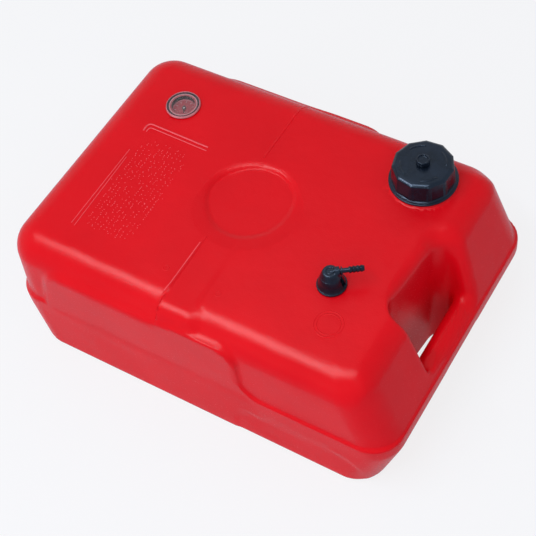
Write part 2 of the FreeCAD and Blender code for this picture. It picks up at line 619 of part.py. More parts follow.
def hose_tail():
    """Barbed tail along +X from the head's centre, with its collar, at height zero."""
    along = Vector(1, 0, 0)
    barb_length = TAIL_BARB_TAPER + TAIL_BARB_LAND
    pieces = [
        Part.makeCylinder(TAIL_RADIUS, TAIL_LENGTH, Vector(0, 0, 0), along),
        Part.makeCylinder(TAIL_COLLAR_RADIUS, TAIL_COLLAR_WIDTH, Vector(TAIL_COLLAR_START, 0, 0), along),
    ]
    for index in range(TAIL_BARBS):
        start = TAIL_LENGTH - (index + 1) * barb_length
        pieces.append(Part.makeCylinder(TAIL_BARB_RADIUS, TAIL_BARB_LAND, Vector(start, 0, 0), along))
        pieces.append(Part.makeCone(TAIL_BARB_RADIUS, TAIL_RADIUS, TAIL_BARB_TAPER,
                                    Vector(start + TAIL_BARB_LAND, 0, 0), along))
    return fuse_all(pieces)


def make_pickup_elbow():
    head = cylinder(ELBOW_HEAD_RADIUS, ELBOW_HEAD_LOW, ELBOW_TOP)
    crown = [e for e in head.Edges if abs(e.BoundBox.ZMin - ELBOW_TOP) < SAME_HEIGHT]
    head = head.makeFillet(ELBOW_DOME, crown)
    tail = hose_tail()
    tail.translate(Vector(0, 0, TAIL_HEIGHT))
    body = fuse_all([
        head,
        cylinder(ELBOW_FLANGE_RADIUS, ELBOW_LOW, ELBOW_LOW + ELBOW_FLANGE_THICKNESS),
        cylinder(ELBOW_NECK_RADIUS, ELBOW_LOW, ELBOW_HEAD_LOW),
        tail,
    ])
    passage = Part.makeCylinder(TAIL_BORE_RADIUS, TAIL_LENGTH + CUT_MARGIN, Vector(0, 0, TAIL_HEIGHT),
                                Vector(1, 0, 0))
    chamber = cylinder(STEM_RADIUS + ELBOW_FIT, ELBOW_LOW - CUT_MARGIN, TAIL_HEIGHT + TAIL_BORE_RADIUS)
    return placed(cut_all(body, (passage, chamber)), PICKUP_X, PICKUP_Y, ELBOW_AZIMUTH)


def make_dip_tube():
    return ring(STEM_SPIGOT_RADIUS + DIP_TUBE_WALL, STEM_SPIGOT_RADIUS, DIP_TUBE_FOOT,
                PICKUP_GASKET_TOP - DIP_TUBE_HEAD_GAP, PICKUP_X, PICKUP_Y)


def make_pickup_strainer():
    """Slotted cup pushed on the mouth of the dip tube."""
    top = STRAINER_FOOT + STRAINER_LENGTH
    cup = cylinder(STRAINER_RADIUS, STRAINER_FOOT, top)
    window = box(0.0, STRAINER_RADIUS + CUT_MARGIN, -STRAINER_WINDOW_WIDTH / 2,
                 STRAINER_WINDOW_WIDTH / 2, STRAINER_FOOT + STRAINER_MARGIN, top - STRAINER_MARGIN)
    chamber = cylinder(STRAINER_RADIUS - STRAINER_WALL, STRAINER_FOOT + STRAINER_WALL, top - STRAINER_MARGIN)
    tube_socket = cylinder(STEM_SPIGOT_RADIUS + DIP_TUBE_WALL, DIP_TUBE_FOOT, top + CUT_MARGIN)
    cup = cut_all(cup, [chamber, tube_socket] + around(window, STRAINER_WINDOWS, 0.0, 0.0))
    return placed(cup, PICKUP_X, PICKUP_Y)


# ================================================================ fuel gauge
def make_gauge_gasket():
    return ring(GAUGE_FLANGE_RADIUS, GAUGE_HOLE_RADIUS, TANK_HEIGHT, GAUGE_FLANGE_LOW, GAUGE_X, GAUGE_Y)


def make_gauge_housing():
    """Flanged cup: dial ledge inside, spindle bearing in its floor."""
    floor_top = GAUGE_CUP_LOW + GAUGE_CUP_WALL
    body = fuse_all([
        cylinder(GAUGE_FLANGE_RADIUS, GAUGE_FLANGE_LOW, LENS_LOW),
        cylinder(GAUGE_CUP_RADIUS, GAUGE_CUP_LOW, LENS_LOW),
    ])
    body = cut_all(body, (
        cylinder(GAUGE_CUP_BORE, DIAL_LOW, LENS_LOW + CUT_MARGIN),
        cylinder(GAUGE_CUP_BORE - DIAL_LEDGE, floor_top, LENS_LOW + CUT_MARGIN),
        cylinder(SPINDLE_RADIUS + SPINDLE_FIT, GAUGE_CUP_LOW - CUT_MARGIN, floor_top + CUT_MARGIN),
    ))
    return placed(body, GAUGE_X, GAUGE_Y)


def make_gauge_lens():
    """Clear window: flange on the housing, a slightly crowned middle and a locating skirt."""
    rim_top = LENS_LOW + LENS_THICKNESS
    crown_radius = GAUGE_CUP_BORE - LENS_SKIRT_WALL
    lens = fuse_all([
        cylinder(LENS_RADIUS, LENS_LOW, rim_top),
        cone(crown_radius + LENS_RISE, crown_radius, rim_top, rim_top + LENS_RISE),
        ring(GAUGE_CUP_BORE - SPINDLE_FIT, crown_radius, LENS_LOW - LENS_SKIRT_DEPTH, LENS_LOW),
    ])
    return placed(lens, GAUGE_X, GAUGE_Y)


def make_gauge_dial():
    return ring(GAUGE_CUP_BORE - SPINDLE_FIT, DIAL_HOLE_RADIUS, DIAL_LOW, DIAL_LOW + DIAL_THICKNESS,
                GAUGE_X, GAUGE_Y)


def make_gauge_pointer():
    high = POINTER_LOW + POINTER_THICKNESS
    corners = [Vector(-POINTER_TAIL, -POINTER_WIDTH / 2, POINTER_LOW),
               Vector(-POINTER_TAIL, POINTER_WIDTH / 2, POINTER_LOW),
               Vector(POINTER_LENGTH, 0, POINTER_LOW)]
    blade = Part.Face(Part.makePolygon(corners + corners[:1])).extrude(Vector(0, 0, POINTER_THICKNESS))
    pointer = fuse_all([blade, cylinder(POINTER_HUB_RADIUS, POINTER_LOW, high)])
    pointer = pointer.cut(cylinder(SPINDLE_RADIUS, POINTER_LOW - CUT_MARGIN, high + CUT_MARGIN))
    return placed(pointer, GAUGE_X, GAUGE_Y, POINTER_AZIMUTH)


def strip_outline(z):
    """The strip's section at height z, turned by the twist counted from the driver at rest."""
    half_width = STRIP_WIDTH / 2
    half_thickness = STRIP_THICKNESS / 2
    corners = [Vector(half_width, -half_thickness, z), Vector(half_width, half_thickness, z),
               Vector(-half_width, half_thickness, z), Vector(-half_width, -half_thickness, z)]
    outline = Part.makePolygon(corners + corners[:1])
    outline.rotate(Vector(0, 0, 0), UP, TWIST_PER_MM * (z - FLOAT_TOP - DRIVER_THICKNESS / 2))
    return outline


def make_gauge_spindle():
    """Twisted strip between two pivots: the float's driver turns it as the float rises."""
    strip_low = GAUGE_FOOT_TOP
    strip_high = GAUGE_CUP_LOW - FLOAT_REST_GAP
    step = (strip_high - strip_low) / (STRIP_SECTIONS - 1)
    sections = [strip_outline(strip_low + index * step) for index in range(STRIP_SECTIONS)]
    spindle = fuse_all([
        Part.makeLoft(sections, True, False),
        cylinder(SPINDLE_RADIUS, GAUGE_FOOT_HEIGHT, GAUGE_FOOT_TOP + DRIVER_THICKNESS),
        cylinder(SPINDLE_RADIUS, strip_high - DRIVER_THICKNESS, POINTER_LOW + POINTER_THICKNESS),
    ])
    return placed(spindle, GAUGE_X, GAUGE_Y)


def rod_places():
    """The two rods' axes, built about the gauge's own axis."""
    angle = math.radians(ROD_AZIMUTH)
    reach = ROD_SPACING / 2
    return [(side * reach * math.cos(angle), side * reach * math.sin(angle)) for side in (-1, 1)]


def make_gauge_guide_rods():
    rods = [cylinder(ROD_RADIUS, GAUGE_FOOT_HEIGHT, GAUGE_CUP_LOW, x, y) for x, y in rod_places()]
    return placed(Part.makeCompound(rods), GAUGE_X, GAUGE_Y)


def make_gauge_foot():
    foot = cylinder(GAUGE_FOOT_RADIUS, GAUGE_FOOT_HEIGHT, GAUGE_FOOT_TOP)
    low, high = GAUGE_FOOT_HEIGHT - CUT_MARGIN, GAUGE_FOOT_TOP + CUT_MARGIN
    holes = [cylinder(ROD_RADIUS, low, high, x, y) for x, y in rod_places()]
    bearing = cylinder(SPINDLE_RADIUS + SPINDLE_FIT, low, high)
    return placed(cut_all(foot, holes + [bearing]), GAUGE_X, GAUGE_Y)


def make_gauge_float():
    body = cylinder(FLOAT_RADIUS, FLOAT_LOW, FLOAT_TOP)
    low, high = FLOAT_LOW - CUT_MARGIN, FLOAT_TOP + CUT_MARGIN
    holes = [cylinder(ROD_RADIUS + ROD_CLEARANCE, low, high, x, y) for x, y in rod_places()]
    well = cylinder(FLOAT_WELL_RADIUS, low, high)
    return placed(cut_all(body, holes + [well]), GAUGE_X, GAUGE_Y)


def make_gauge_driver():
    """Plate on the float whose slot makes the twisted strip turn."""
    high = FLOAT_TOP + DRIVER_THICKNESS
    half_width = STRIP_WIDTH / 2 + DRIVER_CLEARANCE
    half_thickness = STRIP_THICKNESS / 2 + DRIVER_CLEARANCE
    slot = box(-half_width, half_width, -half_thickness, half_thickness,
               FLOAT_TOP - CUT_MARGIN, high + CUT_MARGIN)
    return placed(cylinder(DRIVER_RADIUS, FLOAT_TOP, high).cut(slot), GAUGE_X, GAUGE_Y)


NODES = {
    "tank_shell": make_tank_shell,
    "cap_shell": make_cap_shell,
    "cap_liner": make_cap_liner,
    "cap_gasket": make_cap_gasket,
    "vent_screw": make_vent_screw,
    "vent_seal": make_vent_seal,
    "pickup_gasket": make_pickup_gasket,
    "pickup_stem": make_pickup_stem,
    "pickup_oring": make_pickup_oring,
    "pickup_nut": make_pickup_nut,
    "pickup_elbow": make_pickup_elbow,
    "dip_tube": make_dip_tube,
    "pickup_strainer": make_pickup_strainer,
    "gauge_gasket": make_gauge_gasket,
    "gauge_housing": make_gauge_housing,
    "gauge_lens": make_gauge_lens,
    "gauge_dial": make_gauge_dial,
    "gauge_pointer": make_gauge_pointer,
    "gauge_spindle": make_gauge_spindle,
    "gauge_guide_rods": make_gauge_guide_rods,
    "gauge_foot": make_gauge_foot,
    "gauge_float": make_gauge_float,
    "gauge_driver": make_gauge_driver,
}


def main():
    os.makedirs("parts", exist_ok=True)
    for name, make in NODES.items():
        shape = make()
        shape.exportStep("parts/" + name + ".step")
        print(name, "solids", len(shape.Solids), "valid", shape.isValid(),
              "volume", round(shape.Volume / 1000, 3), "cm3")


main()
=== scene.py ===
"""Visual model of a portable outboard fuel tank, laid out as an add-on.

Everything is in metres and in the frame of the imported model: the origin is at the bottom centre,
+X points to the handle end, -Y is the long side with the pick-up fitting, +Z is up.
"""
import math

import bmesh
import bpy
import numpy as np
import openvdb
from bpy.props import FloatProperty, FloatVectorProperty, IntProperty, PointerProperty
from bpy.types import Operator, Panel, PropertyGroup
from mathutils import Matrix, Vector


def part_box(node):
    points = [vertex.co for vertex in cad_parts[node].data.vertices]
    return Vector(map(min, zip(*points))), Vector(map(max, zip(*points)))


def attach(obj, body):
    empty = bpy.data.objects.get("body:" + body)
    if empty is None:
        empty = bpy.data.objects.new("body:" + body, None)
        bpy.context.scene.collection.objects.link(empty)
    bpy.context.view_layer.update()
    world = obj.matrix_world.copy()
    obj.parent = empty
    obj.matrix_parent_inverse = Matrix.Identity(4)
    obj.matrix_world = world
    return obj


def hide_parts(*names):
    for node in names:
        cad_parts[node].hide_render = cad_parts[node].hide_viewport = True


bl_info = {
    "name": "Outboard fuel tank",
    "version": (1, 0, 0),
    "blender": (4, 5, 0),
    "location": "3D View > Sidebar > Fuel tank",
    "description": "Moulded fuel tank with its cap, pick-up fitting and gauge",
    "category": "Object",
}

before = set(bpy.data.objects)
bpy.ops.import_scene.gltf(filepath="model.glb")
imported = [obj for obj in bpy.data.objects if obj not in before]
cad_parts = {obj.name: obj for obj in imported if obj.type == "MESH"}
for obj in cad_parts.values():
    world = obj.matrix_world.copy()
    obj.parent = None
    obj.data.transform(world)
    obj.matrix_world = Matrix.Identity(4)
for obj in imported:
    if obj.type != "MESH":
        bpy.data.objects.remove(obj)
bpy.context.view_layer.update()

MM = 0.001
# The least gap that keeps neighbouring surfaces apart, and what counts as no length
HAIR = 0.1 * MM
TINY = 1e-6
TANK_LOW, TANK_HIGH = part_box("tank_shell")
CAP_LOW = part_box("cap_shell")[0]
NUT_LOW, NUT_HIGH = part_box("pickup_nut")
HEAD_LOW, HEAD_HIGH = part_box("pickup_elbow")
KNOB_LOW, KNOB_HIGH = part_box("vent_screw")
LENS_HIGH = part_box("gauge_lens")[1]
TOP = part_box("gauge_gasket")[0].z
HALF_LENGTH = TANK_HIGH.x


def centre_of(node):
    low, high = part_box(node)
    return (low + high) / 2


NECK = centre_of("cap_gasket")
PICKUP = centre_of("pickup_gasket")
GAUGE = centre_of("gauge_gasket")


# ---------------------------------------------------------------- settings
def size(name, default, description):
    return FloatProperty(name=name, default=default, description=description, unit="LENGTH",
                         precision=4)


def share(name, default, description):
    return FloatProperty(name=name, default=default, description=description)


def colour(name, default, description):
    return FloatVectorProperty(name=name, default=default, description=description,
                               subtype="COLOR", size=3, min=0.0, max=1.0)


class BodySizes(PropertyGroup):
    cell: size("Cell", 0.0035, "Mesh size of the moulded body")
    wall: size("Wall", 0.004, "Thickness of the moulded wall")
    side_reach: size("Side reach", 0.188, "Long side from the middle plane")
    ledge: size("Ledge", 0.087, "Height of the ledge that runs round the body")
    ledge_edge: size("Ledge edge", 0.0055, "Rounding of the ledge's outer edge")
    chine: size("Chine", 0.068, "Height below which the ends lean in")
    chine_softness: size("Chine softness", 0.003, "How softly the chine turns")
    plain_lean: size("Plain end lean", 0.018, "How far the plain end leans in at the base")
    handle_lean: size("Handle end lean", 0.025, "How far the handle end leans in at the base")
    base_flare: size("Side flare", 0.0044, "How far the long sides spread at the base")
    base_edge: size("Base edge", 0.006, "Rounding round the base")
    lower_corner: size("Lower corner", 0.040, "Corner radius of the lower half")
    upper_corner: size("Upper corner", 0.042, "Corner radius of the upper half")
    side_step: size("Side step", 0.003, "Upper half inside the lower half, long sides")
    plain_step: size("Plain end step", 0.0026, "Upper half inside the lower half, plain end")
    handle_step: size("Handle end step", 0.0018, "Upper half inside the lower half, handle end")
    side_draft: share("Side draft", 0.041, "Lean of the long sides and the plain end")
    handle_draft: share("Handle end draft", 0.350, "Lean of the end above the handle")
    top_edge: size("Top edge", 0.036, "Rounding round the top")
    handle_top_edge: size("Handle top edge", 0.021, "Rounding between the top and the handle end")
    panel_low: size("Side panel start", -0.200, "Plain end of the proud side panels")
    panel_face: size("Side panel end", 0.074, "Where the side panels drop to the ledge")
    panel_top: size("Side panel top", 0.166, "Top edge of the side panels")
    panel_curve: size("Side panel curve", 0.028, "Radius of the panels' drop to the ledge")
    panel_corner: size("Side panel corner", 0.030, "Radius of the panels' other top corner")
    panel_lean: share("Side panel lean", 0.2, "Lean of the panels' other end")
    panel_edge: size("Side panel edge", 0.005, "Rounding of the panels' edges")
    panel_fillet: size("Side panel fillet", 0.004, "Fillet along the panels' edges")
    panel_brow: size("Side panel brow", 0.0070, "Rounding and fillet along the panels' top edge")
    panel_brow_low: size("Side panel brow height", 0.138, "Height from which the brow grows")
    panel_swell: size("Side panel swell", 0.0055, "Rise of the panels' top edge beside the channel")
    arch_low: size("Arch start", 0.060, "Where the shallow recess low on the long sides starts")
    arch_high: size("Arch end", 0.232, "Where that recess ends")
    arch_top: size("Arch top", 0.051, "Height of that recess")
    arch_depth: size("Arch depth", 0.0012, "Depth of that recess")


class ChannelSizes(PropertyGroup):
    band_low: size("Channel start", -0.0305, "Left border of the strap channel")
    band_high: size("Channel end", 0.0085, "Right border of the strap channel")
    band_depth: size("Channel depth", 0.0017, "Depth of the strap channel at the long sides")
    band_fade: share("Channel fade", 0.14, "Share of that depth left beside the recess")
    band_reach: size("Channel reach", 0.1835, "Outer face of the channel at the front")
    band_edge: size("Channel edge", 0.022, "Rounding of the channel's front end")
    band_back_reach: size("Channel back reach", 0.1805, "Outer face of the channel at the back")
    band_back_edge: size("Channel back edge", 0.032, "Rounding of the channel's back end")
    band_back_shift: size("Channel back shift", 0.010, "How far the right border turns in at the back")
    band_left_slope: size("Left slope", 0.0026, "Width of the left border's slope")
    band_right_slope: size("Right slope", 0.009, "Width of the right border's slope")
    band_flare: size("Flare", 0.008, "How far the right border spreads at the front")
    recess_x: size("Recess place", -0.014, "Middle of the round recess")
    recess_radius: size("Recess radius", 0.0585, "Radius of the round recess")
    recess_depth: size("Recess depth", 0.0050, "Depth of the round recess")
    recess_slope: size("Recess slope", 0.0086, "Width of the recess's slope at the back")
    recess_soft: size("Recess soft slope", 0.026, "Width of the recess's slope at the front")


class HandleSizes(PropertyGroup):
    slot_x: size("Slot", 0.2065, "Inner wall of the hand slot")
    slot_skew: share("Slot skew", 0.09, "How much the inner wall turns away towards the back")
    slot_low: size("Slot start", -0.071, "Front wall of the hand slot")
    slot_high: size("Slot end", 0.068, "Back wall of the hand slot at its inner end")
    slot_draft: share("Slot draft", 0.020, "Lean of the inner wall")
    slot_slant: share("Slot slant", 0.34, "How much the back wall turns towards the front")
    slot_back_draft: share("Slot back draft", 0.10, "Lean of the back wall")
    slot_front_corner: size("Slot front corner", 0.028, "Front corner of the slot")
    slot_back_corner: size("Slot back corner", 0.026, "Back corner of the slot")
    slot_front_edge: size("Slot front edge", 0.0035, "Rounding of the slot's front edge")
    slot_back_edge: size("Slot back edge", 0.019, "Rounding of the slot's back edge")
    bar_x: size("Bar", 0.238, "Inner face of the handle bar")
    bar_low: size("Bar underside", 0.058, "Underside of the handle bar")
    bar_high: size("Bar top", 0.100, "Top of the handle bar")
    bar_edge: size("Bar edge", 0.0125, "Rounding of the handle bar")
    bar_blend: size("Bar blend", 0.010, "How softly the bar runs into the body")


class MarkSizes(PropertyGroup):
    bead_width: size("Bead width", 0.0022, "Width of the raised lines")
    bead_height: size("Bead height", 0.0009, "Height of the raised lines")
    pip_pitch: size("Pip pitch", 0.0024, "Distance between the raised pips")
    pip_height: size("Pip height", 0.0007, "Height of the raised pips")
    pip_share: share("Pip share", 0.55, "How many places of the pip field hold a pip")
    pip_seed: IntProperty(name="Pip seed", default=7, description="Fixed seed of the pip field")


class CapSizes(PropertyGroup):
    sides: IntProperty(name="Sides", default=11, description="Flats round the cap")
    sides_turn: FloatProperty(name="Sides turn", default=math.radians(13), subtype="ANGLE",
                              description="Direction of one corner between two flats")
    flange_radius: size("Flange radius", 0.042, "Outer radius of the cap's flange")
    step_radius: size("Step radius", 0.0402, "Radius of the step on the flange")
    skirt_low: size("Skirt foot", 0.0388, "Radius of the skirt at its foot")
    skirt_high: size("Skirt top", 0.0374, "Radius of the skirt under the chamfer")
    crown: size("Crown", 0.0340, "Radius of the flat top")
    bore: size("Bore", 0.0327, "Inner radius of the cap")
    boss: size("Vent boss", 0.006, "Radius of the boss round the vent screw")
    shank: size("Vent bore", 0.00255, "Radius of the hole for the vent screw")
    mark_radius: size("Mark radius", 0.0272, "Radius of the arcs on the top")
    mark_count: IntProperty(name="Marks", default=4, description="Arcs on the cap's top")
    mark_sweep: FloatProperty(name="Mark sweep", default=math.radians(46), subtype="ANGLE",
                              description="Angle that one arc covers")
    knob_radius: size("Knob radius", 0.0082, "Radius of the vent knob")
    knob_grips: IntProperty(name="Knob grips", default=8, description="Hollows round the knob")


class PickupSizes(PropertyGroup):
    boss_radius: size("Boss radius", 0.0096, "Radius of the tank's boss")
    boss_bore: size("Boss bore", 0.0064, "Bore of the tank's boss")
    nut_base: size("Nut base", 0.018, "Radius of the nut's base ring")
    nut_foot: size("Nut foot", 0.0164, "Radius of the nut's cone at its foot")
    nut_waist: size("Nut waist", 0.0145, "Radius of the nut's cone above its middle")
    nut_top: size("Nut top", 0.0121, "Radius of the nut's cone at its top")
    nut_bore: size("Nut bore", 0.0099, "Bore of the nut")
    nut_mouth: size("Nut mouth", 0.0071, "Opening in the nut's lip")
    notch_width: size("Notch width", 0.0072, "Width of the notch in the nut")
    notch_azimuth: FloatProperty(name="Notch azimuth", default=math.radians(8), subtype="ANGLE",
                                 description="Direction of the notch")
    head_radius: size("Head radius", 0.0087, "Radius of the swivelling head at its top")
    head_foot: size("Head foot", 0.0122, "Radius of the head over the nut")
    head_drop: size("Head drop", 0.0040, "How far the head's top is under its side boss")
    flange_radius: size("Elbow flange", 0.0084, "Radius of the flange under the nut's lip")
    neck_radius: size("Elbow neck", 0.0068, "Radius of the neck through the nut")
    chamber: size("Elbow chamber", 0.00488, "Radius of the chamber round the stem")
    tail_azimuth: FloatProperty(name="Tail azimuth", default=math.radians(35), subtype="ANGLE",
                                description="Direction of the hose tail")
    tail_length: size("Tail length", 0.0388, "Hose tail from the head's axis")
    tail_radius: size("Tail radius", 0.0029, "Radius of the hose tail between its barbs")
    tail_bore: size("Tail bore", 0.0018, "Bore of the hose tail")
    barb_radius: size("Barb radius", 0.0042, "Radius over the barbs")
    barb_pitch: size("Barb pitch", 0.0044, "Distance between the barbs")
    collar_radius: size("Collar radius", 0.0050, "Radius of the collar on the tail")
    shoulder_radius: size("Shoulder radius", 0.0057, "Radius of the head's side boss")


class GaugeSizes(PropertyGroup):
    lens_radius: size("Lens radius", 0.0227, "Outer radius of the window")
    lens_clear: size("Lens middle", 0.0142, "Radius of the crowned middle")
    bezel_inner: size("Bezel inner radius", 0.0213, "Inner radius of the bright rim")
    surround: size("Dial surround", 0.0187, "Outer radius of the ring round the dial")
    cup_radius: size("Cup radius", 0.0154, "Radius inside the gauge's cup")
    ticks: IntProperty(name="Ticks", default=9, description="Marks on the dial")


class Finishes(PropertyGroup):
    red: colour("Tank red", (0.670, 0.0024, 0.0090), "Moulded red polyethylene")
    red_deep: colour("Deep red", (0.610, 0.0016, 0.0075), "The same, where it is thicker")
    # Pale red of the open raised lines, the thin channel bead and the pips: a painted highlight for the
    # glints these raised marks catch, not wear
    red_rubbed: colour("Rubbed red", (0.740, 0.090, 0.115), "The same on raised marks, rubbed pale")
    black: colour("Black", (0.0032, 0.0056, 0.0112), "Moulded black nylon")
    rim: colour("Window rim", (0.56, 0.19, 0.23), "Pale rim of the gauge")
    dial: colour("Dial", (0.42, 0.050, 0.075), "Face of the gauge")
    dial_mark: colour("Dial mark", (0.50, 0.36, 0.39), "Marks on the dial")


class StageSettings(PropertyGroup):
    key: share("Key light", 13.5, "Power of the large soft lamp, in watts")
    sheen: share("Sheen", 36.0, "Power of the lamp seen only in the gloss of the front edge, in watts")
    ridge: share("Ridge", 16.0, "Power of the lamp seen only in the gloss of the slopes, in watts")
    fill: share("Fill light", 9.5, "Power of the front fill, in watts")
    side: share("Side light", 6.0, "Power of the fill beside the camera, in watts")
    glow: share("Glow", 3.0, "Power of the lamp seen only in the gloss of the top, in watts")
    sky: share("Sky", 0.62, "Strength of the grey world round the object")
    floor: share("Floor shade", 0.72, "How white the floor is")


class FuelTank(PropertyGroup):
    body: PointerProperty(type=BodySizes)
    channel: PointerProperty(type=ChannelSizes)
    handle: PointerProperty(type=HandleSizes)
    marks: PointerProperty(type=MarkSizes)
    cap: PointerProperty(type=CapSizes)
    pickup: PointerProperty(type=PickupSizes)
    gauge: PointerProperty(type=GaugeSizes)
    finish: PointerProperty(type=Finishes)
    stage: PointerProperty(type=StageSettings)


# ---------------------------------------------------------------- node trees
class Value:
    """A socket of a node tree, for use in plain arithmetic."""

    def __init__(self, tree, socket):
        self.tree = tree
        self.socket = socket

    def _math(self, operation, *others):
        return self.tree.out("ShaderNodeMath", {"operation": operation},
                             dict(enumerate((self,) + others)))

    def _reflected(self, operation, other):
        return self.tree.out("ShaderNodeMath", {"operation": operation}, {0: other, 1: self})

    def __add__(self, other):
        return self._math("ADD", other)

    def __sub__(self, other):
        return self._math("SUBTRACT", other)

    def __mul__(self, other):
        return self._math("MULTIPLY", other)

    __radd__ = __add__
    __rmul__ = __mul__

    def __rsub__(self, other):
        return self._reflected("SUBTRACT", other)

    def clamped(self):
        return self.tree.out("ShaderNodeClamp", {}, {"Value": self})


class Tree:
    """Adds nodes to a tree: the type, its settings first, then the values or links of its sockets."""

    def __init__(self, nodes):
        self.nodes = nodes

    def node(self, kind, settings=None, sockets=None):
        made = self.nodes.nodes.new(kind)
        for key, setting in (settings or {}).items():
            setattr(made, key, setting)
        for key, item in (sockets or {}).items():
            socket = made.inputs[key]
            if isinstance(item, Value):
                self.nodes.links.new(item.socket, socket)
            else:
                socket.default_value = item
        return made

    def out(self, kind, settings=None, sockets=None, key=0):
        return Value(self, self.node(kind, settings, sockets).outputs[key])

    def noise(self, place, scale, detail=2.0, roughness=0.5):
        return self.out("ShaderNodeTexNoise", {},
                        {"Vector": place, "Scale": scale, "Detail": detail,
                         "Roughness": roughness}, "Fac")

    def spread(self, value, low, high, to_low=0.0, to_high=1.0):
        return self.out("ShaderNodeMapRange", {},
                        {"Value": value, "From Min": low, "From Max": high,
                         "To Min": to_low, "To Max": to_high})

    def mixed_colour(self, factor, first, second):
        made = self.node("ShaderNodeMix", {"data_type": "RGBA"}, {0: factor})
        for index, item in ((6, first), (7, second)):
            if isinstance(item, Value):
                self.nodes.links.new(item.socket, made.inputs[index])
            else:
                made.inputs[index].default_value = (*item, 1.0)
        return Value(self, made.outputs[2])

    def bump(self, height, distance, normal=None):
        sockets = {"Height": height, "Distance": distance, "Strength": 1.0}
        if normal is not None:
            sockets["Normal"] = normal
        return self.out("ShaderNodeBump", {}, sockets)


def material_tree(name):
    material = bpy.data.materials.new(name)
    material.use_nodes = True
    material.node_tree.nodes.clear()
    return material, Tree(material.node_tree)


def patterned_material(name):
    """An empty material, its tree and the place on the piece that its patterns read."""
    material, tree = material_tree(name)
    return material, tree, tree.out("ShaderNodeTexCoord", {}, {}, "Object")


def scaled_shade(shade, factor):
    return tuple(factor * part for part in shade)


def finished(material, tree, shader):
    tree.node("ShaderNodeOutputMaterial", {}, {"Surface": shader})
    return material


def principled(tree, base, roughness, normal=None, **constants):
    sockets = {"Base Color": base if isinstance(base, Value) else (*base, 1.0),
               "Roughness": roughness}
    if normal is not None:
        sockets["Normal"] = normal
    for key, constant in constants.items():
        sockets[key.replace("_", " ")] = constant
    return tree.out("ShaderNodeBsdfPrincipled", {}, sockets)


# Patterns of the moulded red skin: noise scales on metres and bump heights in metres
DRIFT_SCALE = 11.0
GRAIN_SCALE, GRAIN_HEIGHT = 560.0, 0.00022
PEEL_SCALE, PEEL_HEIGHT = 120.0, 0.00014
WAVE_SCALE, WAVE_HEIGHT = 16.0, 0.0016
RED_ROUGHNESS = (0.20, 0.29)
RED_GLOSS = 0.12
RED_GLOSS_TINT = (1.0, 0.86, 0.88, 1.0)
# The same of the black mouldings; their paler clouds are this many times the black
SPECK_SCALE, SPECK_HEIGHT = 620.0, 0.00020
CLOUD_SCALE = 60.0
CLOUD_PALENESS = 2.2
BLACK_ROUGHNESS = (0.13, 0.21)
BLACK_GLOSS = 0.50
BLACK_GLOSS_TINT = (0.30, 0.40, 0.56, 1.0)
# Simple finishes: the scale of their clouds, and how much rougher they are in them
PLAIN_CLOUD_SCALE = 70.0
PLAIN_DULLING = 0.12
# Drawn metal: the scale of its lines, how far they are stretched, their height and dulling
LINE_SCALE, LINE_STRETCH = 2500.0, 0.03
LINE_HEIGHT, LINE_DULLING = 0.00002, 0.15
# Clear window: the scale and height of its scuffs, and the gloss added at a glance
SCUFF_SCALE, SCUFF_HEIGHT = 400.0, 0.00002
GLANCE_GLOSS = 0.5
WINDOW_GLOSS_SHADE = (0.62, 0.60, 0.62)
WINDOW_CLEAR_SHADE = (0.94, 0.90, 0.91, 1.0)

MATERIALS = {}


def material_for(name, make):
    """The material of this name, made the first time that it is asked for."""
    if name not in MATERIALS:
        MATERIALS[name] = make(name)
    return MATERIALS[name]


def moulded_red(name, shade, deep):
    """Blow-moulded red: fine grain, soft orange peel and slow waves in the wall."""
    material, tree, place = patterned_material(name)
    drift = tree.noise(place, DRIFT_SCALE, 3.0)
    base = tree.mixed_colour(tree.spread(drift, 0.3, 0.75), shade, deep)
    grain = tree.noise(place, GRAIN_SCALE, 3.0, 0.65)
    peel = tree.noise(place, PEEL_SCALE, 2.0)
    wave = tree.noise(place, WAVE_SCALE, 2.0)
    normal = tree.bump(wave, WAVE_HEIGHT)
    normal = tree.bump(peel, PEEL_HEIGHT, normal)
    normal = tree.bump(grain, GRAIN_HEIGHT, normal)
    roughness = tree.spread(grain, 0.25, 0.75, *RED_ROUGHNESS)
    shader = principled(tree, base, roughness, normal, Specular_IOR_Level=RED_GLOSS,
                        Specular_Tint=RED_GLOSS_TINT)
    return finished(material, tree, shader)


def red_polyethylene(name):
    finish = bpy.context.scene.fuel_tank.finish
    return moulded_red(name, finish.red, finish.red_deep)


# Paler red for raised marks: a painted highlight on them
def red_rubbed(name):
    finish = bpy.context.scene.fuel_tank.finish
    return moulded_red(name, finish.red_rubbed, finish.red_rubbed)


def black_nylon(name):
    """Spark-eroded black moulding: sparkling fine texture, greyer where it is rubbed."""
    finish = bpy.context.scene.fuel_tank.finish
    material, tree, place = patterned_material(name)
    speck = tree.noise(place, SPECK_SCALE, 2.0, 0.7)
    cloud = tree.noise(place, CLOUD_SCALE, 3.0)
    pale = scaled_shade(finish.black, CLOUD_PALENESS)
    base = tree.mixed_colour(tree.spread(cloud, 0.35, 0.8), finish.black, pale)
    normal = tree.bump(speck, SPECK_HEIGHT)
    roughness = tree.spread(cloud, 0.3, 0.7, *BLACK_ROUGHNESS)
    shader = principled(tree, base, roughness, normal, Specular_IOR_Level=BLACK_GLOSS,
                        Specular_Tint=BLACK_GLOSS_TINT)
    return finished(material, tree, shader)


def plain_plastic(low, high, roughness, grain, depth):
    """A maker of simple moulded finishes: two shades, a roughness and a grain."""
    def make(name):
        material, tree, place = patterned_material(name)
        cloud = tree.noise(place, PLAIN_CLOUD_SCALE, 3.0)
        base = tree.mixed_colour(tree.spread(cloud, 0.3, 0.7), low, high)
        normal = tree.bump(tree.noise(place, grain, 2.0), depth)
        dulled = tree.spread(cloud, 0.3, 0.7, roughness, roughness + PLAIN_DULLING)
        return finished(material, tree, principled(tree, base, dulled, normal))
    return make


